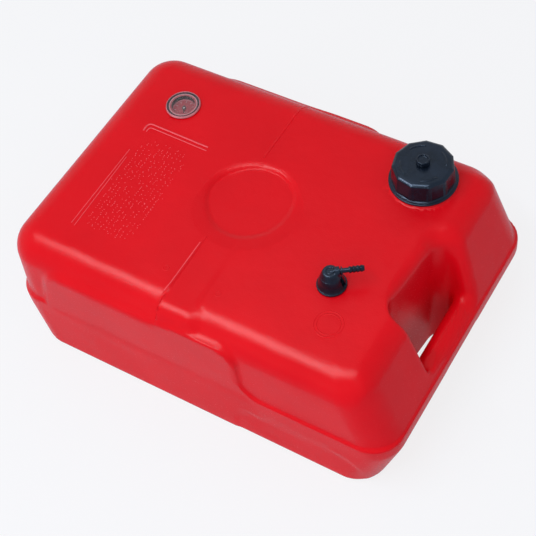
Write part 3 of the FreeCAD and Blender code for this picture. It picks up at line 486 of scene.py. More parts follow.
def brushed_metal(shade, roughness):
    """A maker of drawn metal finishes, with fine lines along Z."""
    def make(name):
        material, tree, place = patterned_material(name)
        along = tree.out("ShaderNodeMapping", {},
                         {"Vector": place, "Scale": (1.0, 1.0, LINE_STRETCH)})
        line = tree.noise(along, LINE_SCALE, 2.0)
        base = tree.mixed_colour(line, shade, scaled_shade(shade, 0.8))
        normal = tree.bump(line, LINE_HEIGHT)
        rough = tree.spread(line, 0.2, 0.8, roughness, roughness + LINE_DULLING)
        return finished(material, tree, principled(tree, base, rough, normal, Metallic=1.0))
    return make


def clear_window(name):
    """Clear plastic: seen through head on, glossy at a glance, with fine scuffs."""
    material, tree, place = patterned_material(name)
    scuff = tree.noise(place, SCUFF_SCALE, 4.0, 0.7)
    haze = tree.spread(scuff, 0.5, 0.75, 0.03, 0.14)
    gloss = principled(tree, WINDOW_GLOSS_SHADE, tree.spread(scuff, 0.4, 0.8, 0.05, 0.22),
                       tree.bump(scuff, SCUFF_HEIGHT), Specular_IOR_Level=0.5)
    clear = tree.out("ShaderNodeBsdfTransparent", {}, {"Color": WINDOW_CLEAR_SHADE})
    glance = tree.out("ShaderNodeLayerWeight", {}, {"Blend": 0.5}, "Facing")
    share_seen = (glance * glance * glance * GLANCE_GLOSS + haze).clamped()
    shader = tree.out("ShaderNodeMixShader", {}, {0: share_seen, 1: clear, 2: gloss})
    return finished(material, tree, shader)


def finish_named(name):
    """Every finish of the tank by its slot's name."""
    finish = bpy.context.scene.fuel_tank.finish
    makers = {
        "red_polyethylene": red_polyethylene,
        "red_rubbed": red_rubbed,
        "black_nylon": black_nylon,
        "natural_polyethylene": plain_plastic((0.70, 0.69, 0.64), (0.62, 0.61, 0.55), 0.42,
                                              600.0, 0.00006),
        "black_rubber": plain_plastic((0.012, 0.012, 0.012), (0.022, 0.021, 0.021), 0.62,
                                      900.0, 0.00008),
        "clear_window": clear_window,
        "dial_print": plain_plastic(finish.dial, scaled_shade(finish.dial, 0.86), 0.45,
                                    1500.0, 0.00003),
        "dial_mark": plain_plastic(finish.dial_mark, finish.dial_mark, 0.5, 1500.0, 0.00002),
        "window_rim": plain_plastic(finish.rim, scaled_shade(finish.rim, 0.7), 0.22,
                                    1200.0, 0.00002),
        "pointer_black": plain_plastic((0.010, 0.010, 0.012), (0.020, 0.020, 0.022), 0.4,
                                       1500.0, 0.00003),
        "steel_strip": brushed_metal((0.56, 0.57, 0.58), 0.28),
        "aluminium_rod": brushed_metal((0.74, 0.75, 0.76), 0.30),
        "float_foam": plain_plastic((0.030, 0.028, 0.026), (0.055, 0.050, 0.046), 0.75,
                                    1100.0, 0.0002),
    }
    return material_for(name, makers[name])


# ---------------------------------------------------------------- mesh helpers
def mesh_from(name, points, faces):
    mesh = bpy.data.meshes.new(name)
    mesh.from_pydata([tuple(point) for point in points], [], [tuple(face) for face in faces])
    mesh.update()
    return mesh


def faced_outwards(mesh):
    """Merges doubles and points a closed mesh's faces outwards."""
    work = bmesh.new()
    work.from_mesh(mesh)
    bmesh.ops.remove_doubles(work, verts=work.verts, dist=1e-7)
    bmesh.ops.recalc_face_normals(work, faces=work.faces)
    work.to_mesh(mesh)
    work.free()
    return mesh


def smoothed(mesh, angle):
    """Shades a mesh smooth, apart from edges sharper than an angle in degrees."""
    mesh.shade_smooth()
    mesh.set_sharp_from_angle(angle=math.radians(angle))
    return mesh


def piece(name, mesh, body, slot, finish=None, replaces=()):
    """Puts a finished mesh in the scene as a piece that rides on a body."""
    made = bpy.data.objects.new(name, mesh)
    bpy.context.scene.collection.objects.link(made)
    mesh.materials.clear()
    mesh.materials.append(finish_named(finish or slot))
    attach(made, body)
    if replaces:
        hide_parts(*replaces)


def rounded_and(a, b, radius):
    """Signed distance to what is in both forms, with the edge between them rounded."""
    inner = np.minimum(np.maximum(a, b), -radius)
    return inner + np.hypot(np.maximum(a + radius, 0.0), np.maximum(b + radius, 0.0))


def rounded_or(a, b, radius):
    """Signed distance to what is in either form, with a fillet between them."""
    return -rounded_and(-a, -b, radius)


def ease(value):
    value = np.clip(value, 0.0, 1.0)
    return value * value * (3.0 - 2.0 * value)


# Margin of the grid round a form's box, and step for the form's slope, both in cells
GRID_MARGIN = 2.5
SLOPE_STEP = 0.15
# Rounds that draw the mesh's points onto the form, and the least squared slope they divide by
DRAWING_ROUNDS = 4
LEAST_STEEPNESS = 0.2
# How far faces on even ground are merged, from 0 to 1
EVENNESS = 0.01


def moulded(name, field, low, high, cell):
    """Mesh of the surface where a signed distance is zero, drawn onto it and shaded by its slope."""
    start = np.array(low, float) - GRID_MARGIN * cell
    count = np.ceil((np.array(high, float) - start) / cell).astype(int) + 3
    axes = [start[axis] + cell * np.arange(count[axis]) for axis in range(3)]
    values = field(*np.meshgrid(*axes, indexing="ij", sparse=True))
    grid = openvdb.FloatGrid(1.0)
    grid.copyFromArray(np.ascontiguousarray(values, dtype=np.float32))
    points, triangles, quads = grid.convertToPolygons(0.0, EVENNESS)
    points = points.astype(float) * cell + start

    def slope(at):
        step = SLOPE_STEP * cell
        parts = []
        for axis in range(3):
            ahead, behind = at.copy(), at.copy()
            ahead[:, axis] += step
            behind[:, axis] -= step
            parts.append((field(*ahead.T) - field(*behind.T)) / (2 * step))
        return np.stack(parts, axis=1)

    for _ in range(DRAWING_ROUNDS):
        steepness = slope(points)
        scale = np.maximum((steepness ** 2).sum(axis=1), LEAST_STEEPNESS)
        shift = np.clip(field(*points.T) / scale, -cell, cell)
        points -= steepness * shift[:, None]
    normals = slope(points)
    normals /= np.maximum(np.linalg.norm(normals, axis=1), 1e-9)[:, None]
    mesh = bpy.data.meshes.new(name)
    faces = [tuple(face) for face in triangles.tolist()] + [tuple(face) for face in quads.tolist()]
    mesh.from_pydata(points.tolist(), [], faces)
    first = mesh.polygons[0]
    if sum(first.normal[axis] * normals[first.vertices[0]][axis] for axis in range(3)) < 0:
        mesh.flip_normals()
    mesh.shade_smooth()
    mesh.normals_split_custom_set_from_vertices(normals.tolist())
    return mesh


# A rounding takes at most this share of a side, and radii under the other one lie on the axis
MOST_OF_SIDE = 0.49
ON_AXIS = 1e-9


def softened(corners, parts=5):
    """Outline through corners of (radius, height, fillet), with each corner rounded."""
    outline = []
    total = len(corners)
    for index, (across, up, fillet) in enumerate(corners):
        here = np.array((across, up))
        if fillet == 0:
            outline.append(here)
            continue
        before = np.array(corners[index - 1][:2]) - here
        after = np.array(corners[(index + 1) % total][:2]) - here
        before_length, after_length = np.linalg.norm(before), np.linalg.norm(after)
        before, after = before / before_length, after / after_length
        half = 0.5 * math.acos(float(np.clip(before @ after, -1, 1)))
        reach = min(fillet / math.tan(half), MOST_OF_SIDE * before_length,
                    MOST_OF_SIDE * after_length)
        radius = reach * math.tan(half)
        middle = here + (before + after) / np.linalg.norm(before + after) * radius / math.sin(half)
        first, last = here + before * reach - middle, here + after * reach - middle
        sweep = math.pi - 2 * half
        for step in range(parts + 1):
            part = step / parts
            mixed = (math.sin((1 - part) * sweep) * first + math.sin(part * sweep) * last)
            outline.append(middle + mixed / math.sin(sweep))
    return np.array(outline)


def turned(name, outline, around, centre, shape=None, angle=30.0):
    """Closed body of revolution from an outline; points on the axis become poles."""
    angles = np.linspace(0, 2 * math.pi, around, endpoint=False) if np.isscalar(around) else around
    count = len(angles)
    points, rings = [], []
    for across, up in outline:
        if across < ON_AXIS:
            rings.append([len(points)])
            points.append((centre[0], centre[1], up))
            continue
        radius = np.full(count, across) if shape is None else shape(angles, across, up)
        rings.append(list(range(len(points), len(points) + count)))
        points.extend(zip(centre[0] + radius * np.cos(angles), centre[1] + radius * np.sin(angles),
                          np.full(count, up)))
    faces = []
    open_ended = outline[0][0] < ON_AXIS and outline[-1][0] < ON_AXIS
    for index in range(len(rings) - (1 if open_ended else 0)):
        one, two = rings[index], rings[(index + 1) % len(rings)]
        for step in range(count):
            after = (step + 1) % count
            if len(one) == 1:
                faces.append((one[0], two[step], two[after]))
            elif len(two) == 1:
                faces.append((one[step], two[0], one[after]))
            else:
                faces.append((one[step], two[step], two[after], one[after]))
    return smoothed(faced_outwards(mesh_from(name, points, faces)), angle)


def lathed(name, corners, around, centre, body, slot, finish=None, replaces=()):
    """A piece turned from an outline with rounded corners."""
    piece(name, turned(name, softened(corners), around, centre), body, slot, finish, replaces)


# ---------------------------------------------------------------- geometry nodes
def growth_tree(name, inputs):
    """Empty geometry tree with these named inputs; gives its group, the tree and the inputs."""
    group = bpy.data.node_groups.new(name, "GeometryNodeTree")
    group.interface.new_socket("Geometry", in_out="INPUT", socket_type="NodeSocketGeometry")
    for key, kind in inputs.items():
        group.interface.new_socket(key, in_out="INPUT", socket_type="NodeSocket" + kind)
    group.interface.new_socket("Geometry", in_out="OUTPUT", socket_type="NodeSocketGeometry")
    tree = Tree(group)
    entry = tree.node("NodeGroupInput")
    return group, tree, {socket.name: Value(tree, socket) for socket in entry.outputs if socket.name}


def close_growth(tree, geometry, given):
    """Ends a geometry tree with real geometry and its material."""
    whole = tree.out("GeometryNodeRealizeInstances", {}, {0: geometry})
    coated = tree.out("GeometryNodeSetMaterial", {}, {"Geometry": whole, "Material": given["Material"]})
    tree.node("NodeGroupOutput", {}, {0: coated})


# Edges of grown pieces that are sharper than this, in degrees, stay sharp
GROWN_ANGLE = 50.0


def grown(name, group, start, body, slot, finish=None, **values):
    """Runs a geometry tree on a start mesh and keeps the result as a plain piece."""
    seed = bpy.data.objects.new(name + "_start", start)
    bpy.context.scene.collection.objects.link(seed)
    modifier = seed.modifiers.new("grow", "NODES")
    modifier.node_group = group
    values["Material"] = finish_named(finish or slot)
    for item in group.interface.items_tree:
        if item.in_out == "INPUT" and item.name in values:
            modifier[item.identifier] = values[item.name]
    bpy.context.view_layer.update()
    graph = bpy.context.evaluated_depsgraph_get()
    mesh = bpy.data.meshes.new_from_object(seed.evaluated_get(graph))
    seed.modifiers.remove(modifier)
    bpy.data.objects.remove(seed)
    if not mesh.polygons:
        raise RuntimeError(name + " came out empty")
    mesh.name = name
    piece(name, smoothed(faced_outwards(mesh), GROWN_ANGLE), body, slot, finish)


# Marks start this high over the top and are lowered onto it, at most this far
DROP_START = TOP + 0.03
DROP_REACH = 0.2


def dropped(tree, geometry, given):
    """Lowers points straight down onto the surface piece."""
    target = tree.out("GeometryNodeObjectInfo", {}, {"Object": given["Surface"]}, "Geometry")
    place = tree.out("GeometryNodeInputPosition")
    ray = tree.node("GeometryNodeRaycast", {}, {"Target Geometry": target, "Source Position": place,
                                                "Ray Direction": (0.0, 0.0, -1.0),
                                                "Ray Length": DROP_REACH})
    return tree.out("GeometryNodeSetPosition", {},
                    {"Geometry": geometry, "Selection": Value(tree, ray.outputs["Is Hit"]),
                     "Position": Value(tree, ray.outputs["Hit Position"])})


def bead_tree():
    """A raised bead along a path, laid on a surface piece."""
    group, tree, given = growth_tree("bead", {
        "Surface": "Object", "Width": "Float", "Height": "Float", "Step": "Float", "Taper": "Float",
        "Ends": "Float", "Material": "Material"})
    path = tree.out("GeometryNodeMeshToCurve", {}, {0: given["Geometry"]})
    path = tree.out("GeometryNodeResampleCurve", {"mode": "LENGTH"},
                    {"Curve": path, "Length": given["Step"]})
    path = dropped(tree, path, given)
    path = tree.out("GeometryNodeSetCurveNormal", {"mode": "Z_UP"}, {0: path})
    along = tree.out("GeometryNodeSplineParameter")
    from_end = tree.out("ShaderNodeMath", {"operation": "PINGPONG"}, {0: along, 1: 0.5})
    grown_up = tree.spread(from_end, 0.0, given["Taper"], given["Ends"], 1.0)
    path = tree.out("GeometryNodeSetCurveRadius", {}, {"Curve": path, "Radius": grown_up})
    ring = tree.out("GeometryNodeCurvePrimitiveCircle", {}, {"Resolution": 10, "Radius": 1.0})
    scale = tree.out("ShaderNodeCombineXYZ", {}, {"X": given["Width"] * 0.5, "Y": given["Height"],
                                                  "Z": 1.0})
    section = tree.out("GeometryNodeTransform", {}, {"Geometry": ring, "Scale": scale})
    bead = tree.out("GeometryNodeCurveToMesh", {},
                    {"Curve": path, "Profile Curve": section, "Fill Caps": True})
    close_growth(tree, bead, given)
    return group


# Sizes of the pips, as shares of their radius and height
LEAST_PIP, LARGEST_PIP = 0.7, 1.25


def pip_tree():
    """A field of raised pips in rows, thinned and jittered by a fixed seed."""
    group, tree, given = growth_tree("pips", {
        "Surface": "Object", "Length": "Float", "Breadth": "Float", "Rows": "Int", "Places": "Int",
        "Share": "Float", "Radius": "Float", "Height": "Float", "Jitter": "Float",
        "Turn": "Vector", "Middle": "Vector", "Seed": "Int", "Material": "Material"})
    grid = tree.out("GeometryNodeMeshGrid", {}, {
        "Size X": given["Breadth"], "Size Y": given["Length"],
        "Vertices X": given["Rows"], "Vertices Y": given["Places"]})
    dots = tree.out("GeometryNodeMeshToPoints", {}, {0: grid})
    place = tree.node("ShaderNodeSeparateXYZ", {}, {0: tree.out("GeometryNodeInputPosition")})
    outside = 0.0
    for axis, side in (("X", "Breadth"), ("Y", "Length")):
        across = tree.out("ShaderNodeMath", {"operation": "DIVIDE"},
                          {0: Value(tree, place.outputs[axis]), 1: given[side] * 0.5})
        square = across * across
        outside = square * square + outside
    outside = tree.out("ShaderNodeMath", {"operation": "GREATER_THAN"}, {0: outside, 1: 1.0})
    dots = tree.out("GeometryNodeDeleteGeometry", {"domain": "POINT"},
                    {"Geometry": dots, "Selection": outside})
    lost = tree.out("FunctionNodeRandomValue", {"data_type": "BOOLEAN"},
                    {"Probability": 1.0 - given["Share"], "Seed": given["Seed"]}, 3)
    dots = tree.out("GeometryNodeDeleteGeometry", {"domain": "POINT"},
                    {"Geometry": dots, "Selection": lost})
    away = tree.out("FunctionNodeRandomValue", {"data_type": "FLOAT_VECTOR"}, {
        0: (-1.0, -1.0, 0.0), 1: (1.0, 1.0, 0.0), "Seed": given["Seed"]}, 0)
    away = tree.out("ShaderNodeVectorMath", {"operation": "SCALE"},
                    {0: away, "Scale": given["Jitter"]})
    dots = tree.out("GeometryNodeSetPosition", {}, {"Geometry": dots, "Offset": away})
    dots = tree.out("GeometryNodeTransform", {}, {
        "Geometry": dots, "Translation": given["Middle"], "Rotation": given["Turn"]})
    dots = dropped(tree, dots, given)
    ball = tree.out("GeometryNodeMeshIcoSphere", {}, {"Radius": 1.0, "Subdivisions": 1})
    flat = tree.out("ShaderNodeCombineXYZ", {}, {"X": given["Radius"], "Y": given["Radius"],
                                                 "Z": given["Height"]})
    spread = tree.out("FunctionNodeRandomValue", {"data_type": "FLOAT"},
                      {2: LEAST_PIP, 3: LARGEST_PIP, "Seed": given["Seed"]}, 1)
    flat = tree.out("ShaderNodeVectorMath", {"operation": "SCALE"}, {0: flat, "Scale": spread})
    pips = tree.out("GeometryNodeInstanceOnPoints", {},
                    {"Points": dots, "Instance": ball, "Scale": flat})
    close_growth(tree, pips, given)
    return group


def ridge_tree():
    """A screw thread: a ridge along a helix, with a sloped section."""
    group, tree, given = growth_tree("ridge", {
        "Radius": "Float", "Lead": "Float", "Turns": "Float", "Depth": "Float", "Root": "Float",
        "Middle": "Vector", "Material": "Material"})
    helix = tree.out("GeometryNodeCurveSpiral", {}, {
        "Resolution": 96, "Rotations": given["Turns"], "Start Radius": given["Radius"],
        "End Radius": given["Radius"], "Height": given["Lead"] * given["Turns"]})
    helix = tree.out("GeometryNodeSetCurveNormal", {"mode": "Z_UP"}, {0: helix})
    ring = tree.out("GeometryNodeCurvePrimitiveCircle", {}, {"Resolution": 8, "Radius": 1.0})
    scale = tree.out("ShaderNodeCombineXYZ", {}, {"X": given["Depth"], "Y": given["Root"] * 0.5,
                                                  "Z": 1.0})
    section = tree.out("GeometryNodeTransform", {}, {"Geometry": ring, "Scale": scale})
    ridge = tree.out("GeometryNodeCurveToMesh", {},
                     {"Curve": helix, "Profile Curve": section, "Fill Caps": True})
    ridge = tree.out("GeometryNodeTransform", {}, {"Geometry": ridge, "Translation": given["Middle"]})
    close_growth(tree, ridge, given)
    return group


def spoke_tree():
    """Copies of the start mesh evenly turned round a centre."""
    group, tree, given = growth_tree("spokes", {
        "Count": "Int", "Start": "Float", "Pitch": "Float", "Middle": "Vector",
        "Material": "Material"})
    line = tree.out("GeometryNodeMeshLine", {}, {"Count": given["Count"], "Offset": (0.0, 0.0, 0.0)})
    dots = tree.out("GeometryNodeMeshToPoints", {}, {0: line})
    turn = tree.out("GeometryNodeInputIndex") * given["Pitch"] + given["Start"]
    turn = tree.out("ShaderNodeCombineXYZ", {}, {"Z": turn})
    turn = tree.out("FunctionNodeEulerToRotation", {}, {0: turn})
    spokes = tree.out("GeometryNodeInstanceOnPoints", {},
                      {"Points": dots, "Instance": given["Geometry"], "Rotation": turn})
    spokes = tree.out("GeometryNodeTransform", {},
                      {"Geometry": spokes, "Translation": given["Middle"]})
    close_growth(tree, spokes, given)
    return group


TREES = {}


def tree_named(make):
    """The geometry tree of this maker, built once."""
    if make not in TREES:
        TREES[make] = make()
    return TREES[make]


# ---------------------------------------------------------------- the tank's form
def rectangle(x, y, x_low, x_high, y_low, y_high, radius):
    """Signed distance to a rectangle with rounded corners."""
    across = np.abs(x - (x_low + x_high) / 2) - (x_high - x_low) / 2
    along = np.abs(y - (y_low + y_high) / 2) - (y_high - y_low) / 2
    return rounded_and(across, along, radius)


# Width over which the front half passes into the back half
BACK_TURN = 0.04
# Where the side panels come beside the strap channel, and over what length
BESIDE_START, BESIDE_LENGTH = -0.048, 0.050


def at_back(y):
    """0 on the front half, 1 on the back half."""
    return ease(0.5 + y / BACK_TURN)


def beside_channel(x):
    """0 on the side panels away from the strap channel, 1 beside it."""
    return ease((x - BESIDE_START) / BESIDE_LENGTH)


# How far from the middle the strap channel's borders start to spread towards the front, over what
# length, the left border's share of it, and how much it widens the right border's slope
FLARE_START, FLARE_LENGTH = 0.140, 0.030
FLARE_LEFT = 0.4
FLARE_RIGHT_SLOPE = 1.6
# Where the right border turns in at the back, and over what length
SHIFT_START, SHIFT_LENGTH = 0.10, 0.05


def channel_flare(channel, y):
    """How far the strap channel's right border has spread."""
    return channel.band_flare * ease((-y - FLARE_START) / FLARE_LENGTH)


def left_border(channel, y):
    """Place of the strap channel's left border."""
    return channel.band_low - FLARE_LEFT * channel_flare(channel, y)


def band_share(channel, x, y):
    """1 inside the strap channel, 0 outside it, with soft borders that spread at the front."""
    flare = channel_flare(channel, y)
    turned_in = channel.band_back_shift * ease((y - SHIFT_START) / SHIFT_LENGTH)
    right = channel.band_high + flare - turned_in
    right_slope = channel.band_right_slope + FLARE_RIGHT_SLOPE * flare
    after_left = ease((x - left_border(channel, y)) / channel.band_left_slope + 0.5)
    before_right = ease((right - x) / right_slope + 0.5)
    return after_left * before_right


# Direction of the round recess's crisp side, the bevel's share of its depth and of its slope, and
# where on the slope the wall starts
CRISP_X, CRISP_Y = -0.34, 0.94
BEVEL_DEPTH, BEVEL_WIDTH = 0.45, 0.65
WALL_START = 0.6


def recess_share(channel, x, y):
    """1 inside the round recess: a bevel, then a steeper wall, crisp at the back, soft at the front."""
    off_x = x - channel.recess_x
    from_middle = np.hypot(off_x, y)
    crispness = (CRISP_Y * y + CRISP_X * off_x) / np.maximum(from_middle, MM)
    softness = ease(0.5 - crispness)
    slope = channel.recess_slope + (channel.recess_soft - channel.recess_slope) * softness
    inward = (channel.recess_radius - from_middle) / slope + 0.5
    bevel = BEVEL_DEPTH * np.clip(inward / BEVEL_WIDTH, 0.0, 1.0)
    return bevel + (1 - BEVEL_DEPTH) * ease((inward - WALL_START) / (1 - WALL_START))


# Corner and slope of the shallow recess low on the long sides
ARCH_CORNER, ARCH_SLOPE = 0.030, 0.010


def lower_form(body, x, y, z):
    """The tub without its top, and the same cut off at the ledge.

    Below the chine the ends lean in and the long sides spread.
    """
    below = body.chine - z
    down = 0.5 * (below + np.sqrt(below * below + body.chine_softness ** 2)) / body.chine
    lean = np.where(x > 0, body.handle_lean, body.plain_lean)
    arch = rectangle(x, z, body.arch_low, body.arch_high, -body.arch_top, body.arch_top,
                     ARCH_CORNER)
    hollow = body.arch_depth * ease(0.5 - arch / ARCH_SLOPE)
    plan = rounded_and(np.abs(x) - HALF_LENGTH + lean * down,
                       np.abs(y) - body.side_reach - body.base_flare * down + hollow,
                       body.lower_corner)
    tub = rounded_and(plan, -z, body.base_edge)
    return tub, rounded_and(tub, z - body.ledge, body.ledge_edge)


# Width over which the top's edge passes from the long sides to the handle end
HANDLE_EDGE_TURN = 0.040
# How far from the middle the strap channel gets deeper, at the back and at the front, and over
# what length
DEEPER_BACK, DEEPER_BACK_LENGTH = 0.140, 0.035
DEEPER_FRONT, DEEPER_FRONT_LENGTH = 0.075, 0.075


def upper_form(body, channel, x, y, z):
    """Ledge to top, with the strap channel and the round recess."""
    rise = np.maximum(z - body.ledge, 0.0)
    step = np.where(x > 0, body.handle_step, body.plain_step)
    draft = np.where(x > 0, body.handle_draft, body.side_draft)
    past_end = np.abs(x) - HALF_LENGTH + step + draft * rise
    past_side = np.abs(y) - body.side_reach + body.side_step + body.side_draft * rise
    plan = rounded_and(past_end, past_side, body.upper_corner)
    towards_end = ease((past_end - past_side + HANDLE_EDGE_TURN / 2) / HANDLE_EDGE_TURN)
    at_handle = np.where(x > 0, towards_end, 0.0)
    top_edge = body.top_edge + (body.handle_top_edge - body.top_edge) * at_handle
    in_recess = recess_share(channel, x, y)
    face = TOP - channel.recess_depth * in_recess
    from_middle = np.where(y > 0, (y - DEEPER_BACK) / DEEPER_BACK_LENGTH,
                           (-y - DEEPER_FRONT) / DEEPER_FRONT_LENGTH)
    depth = channel.band_fade + (1 - channel.band_fade) * ease(from_middle)
    floor = face - channel.band_depth * depth * (1 - in_recess)
    plain = rounded_and(plan, z - face, top_edge)
    backs = at_back(y)
    reach = channel.band_reach + (channel.band_back_reach - channel.band_reach) * backs
    edge = channel.band_edge + (channel.band_back_edge - channel.band_edge) * backs
    band = rounded_and(np.abs(y) - reach, z - floor, edge)
    in_band = band_share(channel, x, y)
    return plain * (1 - in_band) + band * in_band


# The share of its height in which the brow grows, and its width along the panels' plain end
BROW_GROWTH, BROW_END = 0.8, 0.030


def brow_share(body, x, z):
    """0 low on the side panels, 1 along their top edge and their plain end."""
    growth = BROW_GROWTH * (body.panel_top - body.panel_brow_low)
    along_top = ease((z - body.panel_brow_low) / growth)
    along_end = ease((body.panel_low + BROW_END - x) / BROW_END)
    return 1 - (1 - along_top) * (1 - along_end)


# Fillet at the foot of the panels' plain end, and how much crisper they are beside the channel
PLAIN_END_FOOT = 0.004
BESIDE_CRISPNESS = 0.5


def panel_form(body, x, y, z):
    """The proud panels of the long sides."""
    middle = 0.5 * (body.panel_low + body.panel_face)
    plain_corner = body.panel_corner * (1 + at_back(y))
    corner = np.where(x > middle, body.panel_curve, plain_corner)
    slanted = x + np.where(x > middle, 0.0, body.panel_lean * np.maximum(body.panel_top - z, 0.0))
    swell = body.panel_swell * beside_channel(x) * at_back(-y)
    face = rectangle(slanted, z - swell, body.panel_low, body.panel_face, -body.panel_top,
                     body.panel_top, corner)
    foot = np.where(x > 0, body.panel_curve, PLAIN_END_FOOT)
    outline = rounded_or(face, z - body.ledge, foot)
    plan = rounded_and(np.abs(x) - HALF_LENGTH, np.abs(y) - body.side_reach, body.lower_corner)
    edge = body.panel_edge + (body.panel_brow - body.panel_edge) * brow_share(body, x, z)
    edge = edge * (1 - BESIDE_CRISPNESS * beside_channel(x))
    return rounded_and(outline, plan, edge)


# Where the hand slot's edge gets rounder and over what length: past its front wall, and at the back
SLOT_CRISP, SLOT_GROWTH = 0.012, 0.034
SLOT_BACK_START, SLOT_BACK_LENGTH = 0.015, 0.035


def slot_edge(handle, y):
    """Rounding of the hand slot's edge: crisp at the front, fullest at the back."""
    backs = ease((y - SLOT_BACK_START) / SLOT_BACK_LENGTH)
    inner = handle.bar_edge + (handle.slot_back_edge - handle.bar_edge) * backs
    past_front = ease((y - handle.slot_low - SLOT_CRISP) / SLOT_GROWTH)
    return handle.slot_front_edge + (inner - handle.slot_front_edge) * past_front


def handle_form(handle, form, x, y, z):
    """Cuts the hand slot right through a form and leaves the grip bar across it."""
    below_top = TOP - z
    before_wall = handle.slot_x + handle.slot_skew * y + handle.slot_draft * below_top - x
    past_back = (y - handle.slot_high + handle.slot_slant * (x - handle.slot_x)
                 + handle.slot_back_draft * below_top)
    past_back = past_back / math.hypot(1, handle.slot_slant)
    slot = rounded_and(before_wall, handle.slot_low - y, handle.slot_front_corner)
    slot = rounded_and(slot, past_back, handle.slot_back_corner)
    bar = rounded_and(handle.bar_x - x, z - handle.bar_high, handle.bar_edge)
    bar = rounded_and(bar, handle.bar_low - z, handle.bar_edge)
    space = rounded_and(slot, -bar, handle.bar_blend)
    return rounded_and(form, -space, slot_edge(handle, y))


def tank_skin(tank, x, y, z):
    """Outer form of the moulded body."""
    body = tank.body
    fillet = body.panel_fillet + (body.panel_brow - body.panel_fillet) * brow_share(body, x, z)
    upper = rounded_or(upper_form(body, tank.channel, x, y, z), panel_form(body, x, y, z), fillet)
    tub, lower = lower_form(body, x, y, z)
    form = np.minimum(lower, np.maximum(upper, tub + HAIR))
    return handle_form(tank.handle, form, x, y, z)


# Seat round the neck, under the cap
SEAT_RADIUS, SEAT_FOOT, SEAT_GAP = 0.040, 0.179, 0.3 * MM
SEAT_EDGE, SEAT_FILLET = 0.0015, 0.003
# Openings in the top, each with its middle and its radius, and the height that they reach down to
OPENINGS = ((NECK, 0.0296), (PICKUP, 0.0066), (GAUGE, 0.0174))
OPENINGS_FOOT = 0.17


def tank_wall(tank, x, y, z):
    """The moulded wall with its neck seat and its openings."""
    skin = tank_skin(tank, x, y, z)
    shell = np.maximum(skin, -(skin + tank.body.wall))
    seat_top = CAP_LOW.z - SEAT_GAP
    past_seat = np.abs(z - 0.5 * (seat_top + SEAT_FOOT)) - 0.5 * (seat_top - SEAT_FOOT)
    seat = rounded_and(np.hypot(x - NECK.x, y - NECK.y) - SEAT_RADIUS, past_seat, SEAT_EDGE)
    shell = rounded_or(shell, seat, SEAT_FILLET)
    for middle, radius in OPENINGS:
        past_hole = np.hypot(x - middle.x, y - middle.y) - radius
        shell = np.maximum(shell, -np.maximum(past_hole, OPENINGS_FOOT - z))
    return shell


# ---------------------------------------------------------------- operators
class FUELTANK_OT_body(Operator):
    """Make the moulded tank body"""
    bl_idname = "fuel_tank.body"
    bl_label = "Tank body"

    def execute(self, context):
        tank = context.scene.fuel_tank
        low = (TANK_LOW.x, TANK_LOW.y, 0.0)
        high = (TANK_HIGH.x, TANK_HIGH.y, CAP_LOW.z)
        mesh = moulded("tank_body", lambda x, y, z: tank_wall(tank, x, y, z), low, high,
                       tank.body.cell)
        piece("tank_body", mesh, "tank", "red_polyethylene", replaces=("tank_shell",))
        return {"FINISHED"}


# The filler's screw thread: lead, depth, width at its root and where the neck's starts
THREAD_LEAD, THREAD_DEPTH, THREAD_ROOT = 0.008, 0.0021, 0.0034
THREAD_LOW = TOP + 0.009


def thread(name, body, slot, radius, turns, low):
    """Half of the filler's thread, on the neck or in the cap."""
    grown(name, tree_named(ridge_tree), bpy.data.meshes.new(name + "_start"), body, slot,
          Radius=radius, Lead=THREAD_LEAD, Turns=turns, Depth=THREAD_DEPTH, Root=THREAD_ROOT,
          Middle=(NECK.x, NECK.y, low))


class FUELTANK_OT_openings(Operator):
    """Make the threaded filler neck and the pick-up boss of the tank"""
    bl_idname = "fuel_tank.openings"
    bl_label = "Neck and boss"

    NECK_BORE, NECK_RADIUS, NECK_LOW = 0.026, 0.030, 0.1792
    NECK_TURNS = 1.5
    BOSS_DEPTH = 0.0042
    NECK_PARTS, BOSS_PARTS = 96, 64

    def execute(self, context):
        bore, radius, low, high = self.NECK_BORE, self.NECK_RADIUS, self.NECK_LOW, TANK_HIGH.z
        lathed("filler_neck", [(bore, low, 0.0005), (radius, low, 0.0005), (radius, high, 0.0009),
                               (bore, high, 0.0009)], self.NECK_PARTS, NECK, "tank",
               "red_polyethylene")
        thread("neck_thread", "tank", "red_polyethylene", radius, self.NECK_TURNS, THREAD_LOW)
        pickup = context.scene.fuel_tank.pickup
        bore, radius = pickup.boss_bore, pickup.boss_radius
        low, high = TOP - self.BOSS_DEPTH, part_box("pickup_gasket")[0].z
        lathed("pickup_boss", [(bore, low, 0.0004), (radius, low, 0.0004), (radius, high, 0.0005),
                               (bore, high, 0.0004)], self.BOSS_PARTS, PICKUP, "tank",
               "red_polyethylene")
        return {"FINISHED"}


def path_mesh(name, points, closed=False):
    """Edges through points, a little above the tank's top."""
    mesh = bpy.data.meshes.new(name)
    count = len(points)
    edges = [(index, index + 1) for index in range(count - 1)]
    if closed:
        edges.append((count - 1, 0))
    mesh.from_pydata([(x, y, DROP_START) for x, y in points], edges, [])
    return mesh


def circle_points(x, y, radius, count=48):
    return [(x + radius * math.cos(math.tau * index / count),
             y + radius * math.sin(math.tau * index / count)) for index in range(count)]


def bent_line(corner, before, after, radius):
    """A line from before to after that turns round a corner with a radius."""
    points = softened([(*before, 0), (*corner, radius), (*after, 0)], 8)
    return [tuple(point) for point in points]


